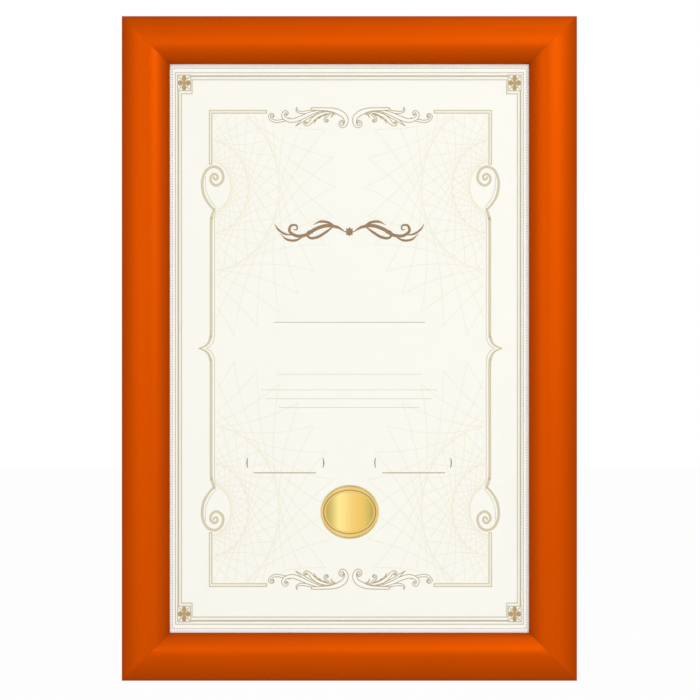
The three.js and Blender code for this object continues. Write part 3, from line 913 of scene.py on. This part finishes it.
# %% Border lines
BEAD_X, BEAD_Z, BEAD_PITCH, BEAD_R = 128.9, 204.0, 1.9, 0.5
across, upright = (np.arange(-count, count + 1) * BEAD_PITCH for count in (67, 107))
beads = [spots(np.column_stack([across, np.full(len(across), s * BEAD_Z)]), BEAD_R) for s in (1, -1)]
beads += [spots(np.column_stack([np.full(len(upright), s * BEAD_X), upright]), BEAD_R) for s in (1, -1)]
printed("print_bead_line", beads, INK_LIFT, "bead ink")

THIN_LINE, BROAD_LINE, BROAD_X, BROAD_Z = 0.8, 1.12, 124.6, 198.35
BROAD_END_X, BROAD_END_Z = 115.6, 187.7
outer_frame = SQUARE * (126.7, 200.9)
stepped = np.array([(114.6, 195.7), (114.6, 185.5), (122.4, 185.5)])
turns = ((1, 1), 1), ((1, -1), -1), ((-1, -1), 1), ((-1, 1), -1)
inner_frame = np.concatenate([stepped[::order] * flip for flip, order in turns])
printed("print_outer_line", [ribbon(outer_frame, THIN_LINE, closed=True)], INK_LIFT, "outer line ink")
printed("print_inner_line", [ribbon(inner_frame, THIN_LINE, closed=True)], INK_LIFT, "thin line ink")
half = BROAD_LINE / 2
broad = [box_shape(-BROAD_END_X, BROAD_END_X, s * BROAD_Z - half, s * BROAD_Z + half) for s in (1, -1)]
broad += [box_shape(s * BROAD_X - half, s * BROAD_X + half, -BROAD_END_Z, BROAD_END_Z) for s in (1, -1)]
printed("print_broad_lines", broad, INK_LIFT, "border ink")

# %% Corner blocks
# At the share t of its length a petal is about sin(pi t^1.5)^0.7 of its full width.
BLOCK, BLOCK_SIZE, BLOCK_LINE = np.array([-120.35, 193.4]), np.array([9.4, 11.4]), 0.65
PETALS = ((0, 1), 5.6, 3.0), ((0, -1), 5.6, 3.0), ((1, 0), 4.6, 3.6), ((-1, 0), 4.6, 3.6)
t = np.linspace(0.02, 0.99, 24)
swell = np.sin(np.pi * t**1.5) ** 0.7 + 0.12
petals = [ribbon(BLOCK + np.outer(t * reach, way), wide * swell) for way, reach, wide in PETALS]
square = ribbon(BLOCK + SQUARE * BLOCK_SIZE / 2, BLOCK_LINE, closed=True)
t = np.linspace(0, 1, 12)
sprig = np.column_stack([1.5 + 2.6 * t, 1.9 + 3.2 * t])
sprig_width = 0.2 + 0.6 * np.sin(np.pi * t)
sprigs = [ribbon(BLOCK + sprig * flip, sprig_width) for flip in ((-1, -1), (-1, 1), (1, -1), (1, 1))]
printed("print_corner_crosses", copies(petals), OVER_LIFT, "corner block ink")
printed("print_corner_squares", copies([square] + sprigs), INK_LIFT, "border ink")

# %% [markdown]
# ### Outlined strokes
# The panel's sides, its volutes and the leaves of its scrolls are all strokes of the pen with a pale
# ground between two fine lines. One helper draws them: the ground is a ribbon whose width follows a list
# along the spine, and the outline is a thin ribbon round its rim.

# %% Stroke with an outline
STROKE_CLIMB, LINE_UP, RIM_STEP = 0.002, 0.004, 0.03


def spread(widths, count):
    """The widths spread evenly over count points."""
    return np.interp(np.linspace(0, 1, count), np.linspace(0, 1, len(widths)), widths)


def stroke(spine, widths, line, per=10, up=0.0):
    """The ground and the outline of a smoothed spine."""
    path = smooth(spine, per)
    wide = spread(widths, len(path)) - line
    left, right = sides(path, wide)
    rim = np.concatenate([left, right[::-1]])
    rim = rim[np.concatenate([[True], np.linalg.norm(np.diff(rim, axis=0), axis=1) > RIM_STEP])]
    ground = ribbon(path, wide, climb=STROKE_CLIMB)
    outlined = ribbon(rim, line, closed=True, climb=STROKE_CLIMB)
    return (*ground[:2], ground[2] + up), (*outlined[:2], outlined[2] + up + LINE_UP)


# %% [markdown]
# ### Panel lines and volutes
# The panel's line is double. At the top corners it is a narrow band with a cream tint, at the sides a
# broad stroke with a thin line inside it. Each volute is one spiral stroke, and a pointed bracket stands
# halfway down each side.

# %% Panel
HOOK_LINE, SIDE_LINE, VOLUTE_UP = 0.7, 0.45, 0.012
HOOK = [
    (-60.3, 173.35), (-101.95, 173.35), (-101.95, 134.2), (-100.2, 134.2), (-100.2, 171.4), (-60.3, 171.4),
]  # fmt: skip
hook_tint = [box_shape(-101.9, -60.4, 171.4, 173.3), box_shape(-101.9, -100.2, 134.3, 171.4)]
printed("print_panel_tint", copies(hook_tint, axis=PANEL_AXIS), UNDER_LIFT, "cream tint")
hooks = copies([ribbon(HOOK, HOOK_LINE, closed=True)], axis=PANEL_AXIS)
printed("print_panel_hooks", hooks, INK_LIFT, "panel line ink")

VOLUTE = [
    (-98.1, 100.3), (-103.0, 106.1), (-106.2, 112.3), (-107.3, 119.6), (-106.4, 125.3), (-103.6, 130.3),
    (-98.9, 132.4), (-94.5, 130.8), (-92.1, 126.4), (-92.6, 121.7), (-96.8, 118.7), (-100.5, 120.9),
    (-101.1, 124.6), (-98.6, 127.2), (-96.0, 125.4), (-96.8, 123.0), (-98.6, 123.6), (-98.9, 125.1),
]  # fmt: skip
VOLUTE_WIDTHS = [1.3, 1.6, *[1.8] * 8, 1.7, 1.7, 1.7, 1.6, 1.5, 1.4, 1.2, 0.9]
SIDE = [
    (-98.1, 102.0), (-99.3, 99.0), (-100.3, 95.0), (-100.75, 90.0), (-100.75, 50.0), (-100.75, 13.0),
    (-101.2, 8.2), (-102.3, 4.8), (-104.0, 2.6), (-106.6, 1.0), (-109.6, 0.0),
]  # fmt: skip
SIDE_WIDTHS = [1.3, 1.8, *[1.9] * 4, 1.8, 1.6, 1.3, 1.0, 0.6]
IN_CURVE = [(-97.0, 102.6), (-100.6, 107.0), (-103.4, 112.4), (-104.9, 118.5), (-104.8, 125.5)]
IN_SIDE = [
    (-97.4, 99.5), (-98.1, 95.0), (-98.2, 90.0), (-98.2, 50.0), (-98.2, 13.0), (-98.6, 7.4), (-99.6, 4.0),
    (-101.4, 1.6), (-104.3, 0.0),
]  # fmt: skip
volute_ground, volute_line = stroke(VOLUTE, VOLUTE_WIDTHS, SIDE_LINE, 14, up=VOLUTE_UP)
side_ground, side_line = stroke(SIDE, SIDE_WIDTHS, SIDE_LINE, 6)
insides = [ribbon(smooth(IN_SIDE, 6), 0.55), ribbon(smooth(IN_CURVE, 14), 0.5)]
for name, shapes, lift, ink_name in (
    ("print_side_grounds", [volute_ground, side_ground], SIDE_LIFT, "side line ink"),
    ("print_side_outlines", [volute_line, side_line], SIDE_LIFT, "stroke edge ink"),
    ("print_thin_insides", insides, UNDER_LIFT, "pale line ink"),
):
    printed(name, copies(shapes, axis=PANEL_AXIS), lift, ink_name)

# %% [markdown]
# ### Leaf scrolls
# The scrolls at the top and bottom are built from leaves, each a stroke that ends in a curl or a point.
# Later leaves lie over earlier ones, a few thousandths of a millimetre higher, as an engraver
# overlaps them.

# %% Leaves, drawn for the left half with u out from the middle and v down from the panel's line
LEAVES = [  # (points of the spine, widths along it)
    ([(45.0, 5.2), (49.4, 6.1), (53.9, 7.0), (57.1, 6.6), (59.4, 5.0), (60.0, 3.0), (58.5, 1.7), (57.0, 2.5),
      (57.4, 4.0), (58.4, 3.6)],
     [2.0, 2.2, 2.3, 2.2, 2.0, 1.8, 1.5, 1.2, 0.9, 0.7]),
    ([(24.0, -1.6), (28.0, -0.8), (31.5, 0.0), (35.5, 0.5), (38.8, 0.1), (40.3, -1.4), (39.9, -3.2)],
     [2.4, 2.6, 2.4, 2.2, 1.9, 1.4, 0.5]),
    ([(25.0, 0.4), (28.0, 1.9), (33.0, 4.4), (37.2, 7.4), (40.9, 10.3)], [2.0, 2.6, 2.8, 2.0, 0.5]),
    ([(20.0, -1.0), (24.4, -0.5), (28.4, 0.7), (32.1, 2.1), (37.5, 4.6), (42.1, 6.2), (45.7, 6.2),
      (48.9, 4.8), (50.2, 2.4), (48.9, 0.0), (47.0, 0.7), (47.3, 2.3), (48.4, 2.2)],
     [1.6, 2.0, 2.6, 3.0, 3.4, 3.3, 3.0, 2.7, 2.5, 2.2, 1.7, 1.2, 0.8]),
    ([(21.5, 2.4), (24.0, 3.6), (26.0, 5.6), (27.5, 8.3)], [1.6, 1.8, 1.4, 0.4]),
    ([(17.5, 1.4), (20.3, 2.2), (22.2, 3.1), (23.8, 4.8)], [1.2, 1.4, 1.1, 0.4]),
    ([(13.0, 0.3), (19.3, 0.9), (24.4, 2.6), (28.0, 5.1), (30.7, 8.2), (33.0, 9.7), (34.6, 8.7), (33.9, 7.5),
      (32.7, 8.0)],
     [1.4, 2.2, 2.9, 3.0, 2.6, 2.0, 1.5, 1.1, 0.7]),
    ([(12.0, -0.6), (15.6, 1.0), (18.4, 3.1), (19.7, 5.2), (19.3, 6.9), (17.9, 7.2), (17.4, 6.0),
      (18.3, 5.6)],
     [1.2, 1.5, 1.8, 1.7, 1.5, 1.2, 0.9, 0.6]),
    ([(9.2, -0.2), (12.1, 1.2), (14.0, 2.3), (15.1, 4.2)], [1.2, 1.5, 1.1, 0.4]),
    ([(29.5, -2.1), (23.0, -1.9), (17.5, -1.7), (13.0, -1.0), (8.9, 0.6), (5.5, 3.0), (4.1, 6.2), (4.6, 9.0),
      (6.4, 10.8), (8.3, 10.1), (8.8, 8.1), (7.4, 6.8), (5.8, 7.6), (6.2, 8.7)],
     [2.2, 2.6, 2.8, 3.6, 4.2, 3.9, 3.4, 2.7, 2.2, 2.0, 1.8, 1.5, 1.2, 0.8]),
]
PANEL_LINE, LEAVES_IN, SCROLL_LINE, LEAF_UP = 172.4, 1.8, 0.54, 0.008
drawn = [
    stroke([(LEAVES_IN - u, PANEL_LINE - v) for u, v in spine], widths, SCROLL_LINE, up=LEAF_UP * order)
    for order, (spine, widths) in enumerate(LEAVES)
]
grounds, outlines = zip(*drawn)
printed("print_scroll_grounds", copies(grounds, axis=PANEL_AXIS), NET_LIFT, "leaf tint")
printed("print_scroll_outlines", copies(outlines, axis=PANEL_AXIS), NET_LIFT, "scroll ink")

# %% [markdown]
# ### The net in the ground
# Security print has a fine net of thin lines behind the words. Here it is three stars, one inside the
# other, about the middle of each volute: each has 32 points, and an arc runs from each point to the
# eighth one on, bent towards the middle. The lines stop at the panel's edge, the scrolls and the volutes.

# %% The stars
STAR_X, STAR_Z, STAR_RX, STAR_RZ = -102.0, 117.5, 92.0, 110.2
STAR_POINTS, STAR_STEP, STAR_BEND, STAR_SHRINK = 32, 8, 0.39, 0.556
STAR_LINE, LENS_LINE, STAR_CLIMB = 0.34, 0.5, 0.003
VOLUTE_X, VOLUTE_Z, VOLUTE_RX, VOLUTE_RZ = -97.6, 117.8, 11.2, 16.2
SCROLL_REACH, SCROLL_FOOT, SCROLL_DIP = 61, 162.5, 12
HOOK_EDGE, SIDE_EDGE, HOOK_FOOT, PANEL_TOP = -99.8, -97.6, 134, 171.0


def star_arc(scale, first):
    """From one star point to another, bent at the direction halfway between them and at the share STAR_BEND
    of the star's size. Points next to a volute, under a scroll or outside the panel's quarter have no ink."""
    start, corner, end = (
        polar(360 * (first + STAR_STEP * share) / STAR_POINTS, length)
        for share, length in ((0, 1), (0.5, STAR_BEND), (1, 1))
    )
    x, z = (np.array([STAR_X, STAR_Z]) + scale * bent(start, corner, end, 40) * (STAR_RX, STAR_RZ)).T
    near_volute = ((x - VOLUTE_X) / VOLUTE_RX) ** 2 + ((z - VOLUTE_Z) / (VOLUTE_RZ + 0.2)) ** 2 < 1
    dip = 0.4 * np.maximum(0, SCROLL_DIP - np.abs(x))
    under_scroll = (np.abs(x) < SCROLL_REACH) & (z > SCROLL_FOOT - dip)
    inside = (x > np.where(z > HOOK_FOOT, HOOK_EDGE, SIDE_EDGE)) & (z < PANEL_TOP) & (z > 0) & (x < -1)
    kept = inside & ~near_volute & ~under_scroll
    return ribbon(np.column_stack([x, z]), STAR_LINE, kept=kept, climb=STAR_CLIMB)


net = [star_arc(STAR_SHRINK**ring, first) for ring in range(3) for first in range(STAR_POINTS)]
net = [shape for shape in net if len(shape[1])]
t = np.linspace(-0.47, 0.40, 40) * np.pi
lens = np.column_stack([VOLUTE_X + VOLUTE_RX * np.cos(t), VOLUTE_Z + VOLUTE_RZ * np.sin(t)])
net.append(ribbon(lens, LENS_LINE))
printed("print_star_net", copies(net, axis=PANEL_AXIS), NET_LIFT, "guilloche ink")
printed("print_ivory_ground", [box_shape(-126.6, 126.6, -201.3, 201.3)], GROUND_LIFT, "ivory ground")

# %% [markdown]
# ### Ruled lines
# A blank certificate has ruled lines where names are written in by hand, and a pair of signature lines
# with brackets. The heading's place holds a small printer's flourish of the same leaves.

# %% Rules and brackets
dark_rules = [
    box_shape(-69.8, -24.3, -90.9, -90.3), box_shape(24.1, 69.6, -90.9, -90.3),
    box_shape(-55.0, 55.0, 18.9, 19.25),
]  # fmt: skip
RULE_HALF = 0.15
pale_rules = [
    box_shape(-half, half, middle - RULE_HALF, middle + RULE_HALF)
    for half, middle in ((52.5, -18.75), (64.0, -30.2), (60.5, -36.6), (51.5, -43.0))
]
BRACKET_Z, BRACKET_HALF = -83.3, 3.7
t = np.linspace(-1, 1, 16)
brackets = [
    ribbon(np.column_stack([x + bulge * (1 - t**2), BRACKET_Z + BRACKET_HALF * t]), 0.3 + 0.5 * (1 - t**2))
    for x, bulge in ((-74.0, -0.6), (-19.4, 0.7), (19.2, -0.7), (73.6, 0.6))
]
printed("print_signature_rules", dark_rules, INK_LIFT, "rule ink")
printed("print_brackets", brackets, INK_LIFT, "bracket ink")
printed("print_pale_rules", pale_rules, INK_LIFT, "thin line ink")

# %% Flourish
FLOURISH = [  # (points of the spine, widths along it)
    ([(3.2, 0.0), (9.0, 3.4), (17.0, 4.4), (25.0, 1.8), (31.5, -2.2), (38.5, -3.0), (43.5, 0.2), (42.6, 4.4),
      (38.6, 4.6), (38.2, 1.8), (40.4, 1.5)],
     [0.6, 2.0, 2.6, 2.6, 2.4, 2.2, 2.0, 1.7, 1.3, 1.0, 0.6]),
    ([(12.0, 3.6), (17.0, -0.2), (23.0, -3.8), (28.4, -4.6), (31.0, -1.6), (28.6, 0.6), (26.6, -1.2)],
     [0.8, 1.8, 2.0, 1.8, 1.5, 1.2, 0.6]),
    ([(10.0, 3.6), (15.0, 6.6), (21.0, 7.4), (26.6, 5.0)], [0.6, 1.8, 1.8, 0.2]),
    ([(33.0, -3.0), (39.0, -6.2), (45.5, -5.6), (50.5, -1.2)], [0.6, 1.7, 1.6, 0.1]),
    ([(41.5, -2.4), (47.0, -1.6), (52.0, 1.8), (54.5, 6.0)], [0.6, 1.5, 1.4, 0.1]),
]
FLOURISH_AT, FLOURISH_PER = np.array([0.0, 85.0]), 12
RAYS, RAY_LONG, RAY_WIDE = 8, 3.4, 1.7
strokes = [
    ribbon(smooth(spine, FLOURISH_PER) + FLOURISH_AT, spread(widths, FLOURISH_PER * (len(spine) - 1) + 1))
    for spine, widths in FLOURISH
]
t = np.linspace(0.03, 0.99, 20)
star = [
    ribbon(FLOURISH_AT + np.outer(t, polar(360 * ray / RAYS, RAY_LONG)), RAY_WIDE * np.sin(np.pi * t**1.2))
    for ray in range(RAYS)
]
printed("print_flourish", copies(strokes, LEFT_RIGHT) + star, INK_LIFT, "brown ink")

# %% [markdown]
# ### The foil seal
# The seal is pressed gold foil: a milled edge, a domed outer band, a groove, a thin inner ring and a
# brushed field. Its height is a function of the share of the way out to the rim, and the rim's radius
# ripples by five per cent for the milling. The field is flatter than the rim: a ring's radius is divided by
# sqrt(cos^2 a + (sin a / k)^2), with k = 0.906 inside and 1 at the rim. The colour ramp across it paints
# a sheen on the brushed foil: the gold goes from dull at the sides to pale left of the middle. A second ramp
# over the share, kept as an attribute, paints shade into the grooves and onto the milled edge and paints
# a highlight on the domed bands, and a cosine of the angle paints shade into the notches between the teeth,
# most at the top and bottom of the seal.

# %% Gold
def ramp(tree, fac, stops, curve="LINEAR"):
    """The colour that a value has on a ramp of (position, RGB) stops."""
    made = node(tree, "ValToRGB", Fac=fac)
    made.color_ramp.interpolation = curve
    for position, _ in stops[1:-1]:
        made.color_ramp.elements.new(position)
    for element, (position, colour) in zip(made.color_ramp.elements, stops):
        element.position, element.color = position, (*colour, 1)
    return made.outputs["Color"]


SEAL_X, SEAL_Z, SEAL_RX, SEAL_RZ, TEETH = 0.2, -119.1, 21.7, 20.0, 68
# painted sheen: across the seal the gold is dull at the sides and pale left of the middle
FOIL_PAINTED_SHEEN = [
    (0.0, (0.74, 0.47, 0.05)), (0.10, (0.52, 0.33, 0.01)), (0.15, (0.41, 0.26, 0.015)),
    (0.27, (0.86, 0.69, 0.18)), (0.37, (0.95, 0.77, 0.25)), (0.52, (0.84, 0.55, 0.11)),
    (0.64, (0.82, 0.51, 0.07)), (0.76, (0.72, 0.49, 0.05)), (0.85, (0.48, 0.36, 0.01)),
    (0.90, (0.42, 0.24, 0.0)), (1.0, (0.76, 0.48, 0.05)),
]  # fmt: skip
# painted shade in the grooves and at the milled edge, and a painted highlight on the domed bands
RING_SHADE_AND_HIGHLIGHT = [
    (0.0, 1.0), (0.782, 1.0), (0.797, 0.66), (0.812, 1.0), (0.828, 1.1), (0.845, 0.9), (0.860, 0.36),
    (0.882, 0.34), (0.904, 0.95), (0.93, 1.15), (0.955, 1.1), (0.98, 0.90), (1.0, 0.65),
]  # fmt: skip
BAND_FROM, BAND_COLOUR, BAND_SHARE = 0.79, (0.82, 0.57, 0.14), 0.7
SHINE, SHINE_SHARE = (0.95, 0.74, 0.28), 0.16
RIM_FROM, RIM_STEEP = 0.905, 14.0
gold, tree, shader, place = finish("brushed gold foil", 0.34, metallic=0.35, specular=0.06)
x = node(tree, "SeparateXYZ", Vector=place).outputs["X"]
sideways = maths(tree, "ADD", maths(tree, "MULTIPLY", x, 0.5 / (SEAL_RX * MM)), 0.5, True)
colour = ramp(tree, sideways, FOIL_PAINTED_SHEEN, "B_SPLINE")
radial = node(tree, "Attribute", attribute_name="share").outputs["Fac"]
rings = ramp(tree, radial, [(share, (level**0.8, level, level**1.3)) for share, level in RING_SHADE_AND_HIGHLIGHT])

scale, shift = (1 / (SEAL_RX * MM), 0.0, 1 / (SEAL_RZ * MM)), (-SEAL_X / SEAL_RX, 0.0, -SEAL_Z / SEAL_RZ)
about = node(tree, "SeparateXYZ", Vector=vectors(tree, "MULTIPLY_ADD", place, scale, shift)).outputs
# painted shade in the notches between the teeth, strongest at the top and bottom of the seal
around = maths(tree, "MULTIPLY", maths(tree, "ARCTAN2", about["Z"], about["X"]), TEETH)
notch = maths(tree, "ADD", maths(tree, "MULTIPLY", maths(tree, "COSINE", around), 0.5), 0.5)
on_rim = maths(tree, "MULTIPLY", maths(tree, "SUBTRACT", radial, RIM_FROM, True), RIM_STEEP, True)
shade_top_bottom = varied(tree, maths(tree, "ABSOLUTE", about["Z"]), 0.2, 0.8)
notch_shade = maths(tree, "MULTIPLY", notch, maths(tree, "MULTIPLY", on_rim, shade_top_bottom))
in_band = maths(tree, "MULTIPLY", maths(tree, "GREATER_THAN", radial, BAND_FROM), BAND_SHARE)
colour = mix_colours(tree, in_band, colour, BAND_COLOUR)
lines = textured(tree, place, lines_group, Stretch=(1.0, 1.0, 0.02), Lines_per_metre=2600.0)
colour = mix_colours(tree, maths(tree, "MULTIPLY", lines["Lines"], SHINE_SHARE), colour, SHINE)
ringed = vectors(tree, "MULTIPLY", colour, rings)
toothed = vectors(tree, "MULTIPLY", ringed, maths(tree, "SUBTRACT", 1.0, notch_shade))
give(shader, Base_Color=toothed, Roughness=varied(tree, lines["Lines"], 0.26, 0.42))
relief(tree, shader, lines["Lines"], 0.15)

# %% Seal
SEAL_TURNS, FIELD_SQUAT, MILLING = 720, 0.906, 0.048
MILL_FROM, MILL_OVER, SQUAT_FROM = 0.93, 0.06, 0.888
RINGS = np.array([  # (share of the way to the rim, height above the paper in mm)
    (0.30, 0.050), (0.60, 0.050), (0.765, 0.050), (0.785, 0.045), (0.797, 0.030), (0.81, 0.060),
    (0.828, 0.092), (0.845, 0.085), (0.858, 0.050), (0.872, 0.028), (0.888, 0.050), (0.915, 0.100),
    (0.945, 0.112), (0.97, 0.100), (0.99, 0.080), (1.0, 0.050), (1.0, 0.0),
])  # fmt: skip
share, a = RINGS[:, :1], np.linspace(0, 2 * np.pi, SEAL_TURNS, endpoint=False)
milling = MILLING * np.abs(2 * ((TEETH * a / (2 * np.pi)) % 1) - 1)
squat = np.interp(share, [SQUAT_FROM, 1.0], [FIELD_SQUAT, 1.0])
seal_radii = SEAL_RX * share * (1 - milling * np.clip((share - MILL_FROM) / MILL_OVER, 0, 1))
seal_radii = seal_radii / np.hypot(np.cos(a), np.sin(a) / squat)
seal = turned(SEAL_X, SEAL_Z, seal_radii, PRINT_FRONT + RINGS[:, 1], SEAL_TURNS, SEAL_RZ / SEAL_RX)
seal_piece = new_piece("foil_seal", [seal], [gold], "frame", sharp=60)
mark(seal_piece, "share", np.concatenate([np.repeat(share, SEAL_TURNS), [0.0, 1.0]]))

# %% [markdown]
# ## Light, floor and camera
# The frame is shown straight from the front on white. The world shows as white to the camera and lights
# the frame evenly from all round at under half that strength. Two strip lamps stand in front, left and
# right of the camera, so the rounded rails are bright along the crest and darker towards both edges. A
# third lamp, high on the right, makes the upper right the brightest. These three stand outside the part
# of the room that the clear sheet mirrors. A broad lamp in front brings the print up to the level of its
# written colours and another does so for the back. Neither of the two is mirrored.

# %% World
AMBIENT = 0.45


def seen_directly(tree):
    """1 for a ray of the camera, also by way of a mirror or clear plastic, and 0 for light on the frame."""
    path = node(tree, "LightPath").outputs
    seen = maths(tree, "MAXIMUM", path["Is Camera Ray"], path["Is Glossy Ray"])
    return maths(tree, "MAXIMUM", seen, path["Is Transmission Ray"])


world = bpy.data.worlds.new("studio")
bpy.context.scene.world = world
world.use_nodes = True
tree = world.node_tree
level = varied(tree, seen_directly(tree), AMBIENT, 1.0)
give(tree.nodes["Background"], Color=(1, 1, 1, 1), Strength=level)
print("light from all round:", AMBIENT)

# %% Lamps
# Each points at the frame's middle: it tips down by atan(z / its distance along the ground) and turns by
# atan(x / -y). A lamp that isn't mirrored leaves no bright patch on the clear sheet.
for name, place, size, watts, is_mirrored in (
    ("left strip", (-0.883, -2.0, 0.237), (1.228, 0.25), 4.5, True),
    ("right strip", (0.649, -2.0, 0.524), (0.759, 0.25), 5.8, True),
    ("high", (1.50, -2.0, 2.20), (0.25, 1.60), 31.0, True),
    ("front", (0.0, -2.0, -0.3), (0.8, 0.8), 5.5, False),
    ("back", (-0.8, 1.7, 0.9), (1.4, 1.4), 22.0, False),
):
    data = bpy.data.lights.new(name, "AREA")
    data.shape, data.size, data.size_y, data.energy = "RECTANGLE", *size, watts
    lamp = placed(name, data)
    x, y, z = lamp.location = place
    lamp.rotation_euler = (math.pi / 2 - math.atan2(z, math.hypot(x, y)), 0, math.atan2(x, -y))
    lamp.visible_camera, lamp.visible_glossy = False, is_mirrored
    print(f"{name} lamp: {watts} W")

# %% Floor
FLOOR_SEEN, FLOOR_REACH, FLOOR_Z = 0.975, 20.0, -0.75
floor_material = bpy.data.materials.new("pale floor")
floor_material.use_nodes = True
tree = floor_material.node_tree
shader = tree.nodes["Principled BSDF"]
give(shader, Base_Color=(0.8, 0.8, 0.8, 1), Roughness=0.9, Specular_IOR_Level=0.0)
glow, shown = node(tree, "Emission", Strength=1.0), node(tree, "MixShader")
seen = maths(tree, "MULTIPLY", seen_directly(tree), FLOOR_SEEN)
fill(shown.inputs, (seen, shader.outputs[0], glow.outputs[0]))
give(tree.nodes["Material Output"], Surface=shown.outputs[0])
floor_mesh = bpy.data.meshes.new("floor")
floor_mesh.from_pydata([(x * FLOOR_REACH, y * FLOOR_REACH, FLOOR_Z) for x, y in SQUARE], [], [(0, 1, 2, 3)])
floor_mesh.materials.append(floor_material)
placed("floor", floor_mesh)
print("floor at", FLOOR_Z, "m")

# %% Camera: the outline is 455.5 px wide in a 700 px picture, seen with a long lens
LENS, SENSOR, PICTURE = 180.0, 36.0, 700.0
OUTLINE_PX, OUTLINE_DEPTH = 455.55, 9.5
SHIFT_X, SHIFT_Z = 0.6, -1.55
PX = OUTER_W * MM / OUTLINE_PX
distance = PX * PICTURE * LENS / SENSOR
camera_data = bpy.data.cameras.new("camera")
camera_data.lens, camera_data.sensor_width, camera_data.clip_end = LENS, SENSOR, 60.0
camera = placed("camera", camera_data)
camera.location = (SHIFT_X * PX, -OUTLINE_DEPTH * MM - distance, SHIFT_Z * PX)
camera.rotation_euler = (math.pi / 2, 0, 0)
bpy.context.scene.camera = camera
bpy.context.scene.view_settings.view_transform = "Standard"
print("camera distance:", round(distance, 4), "m")
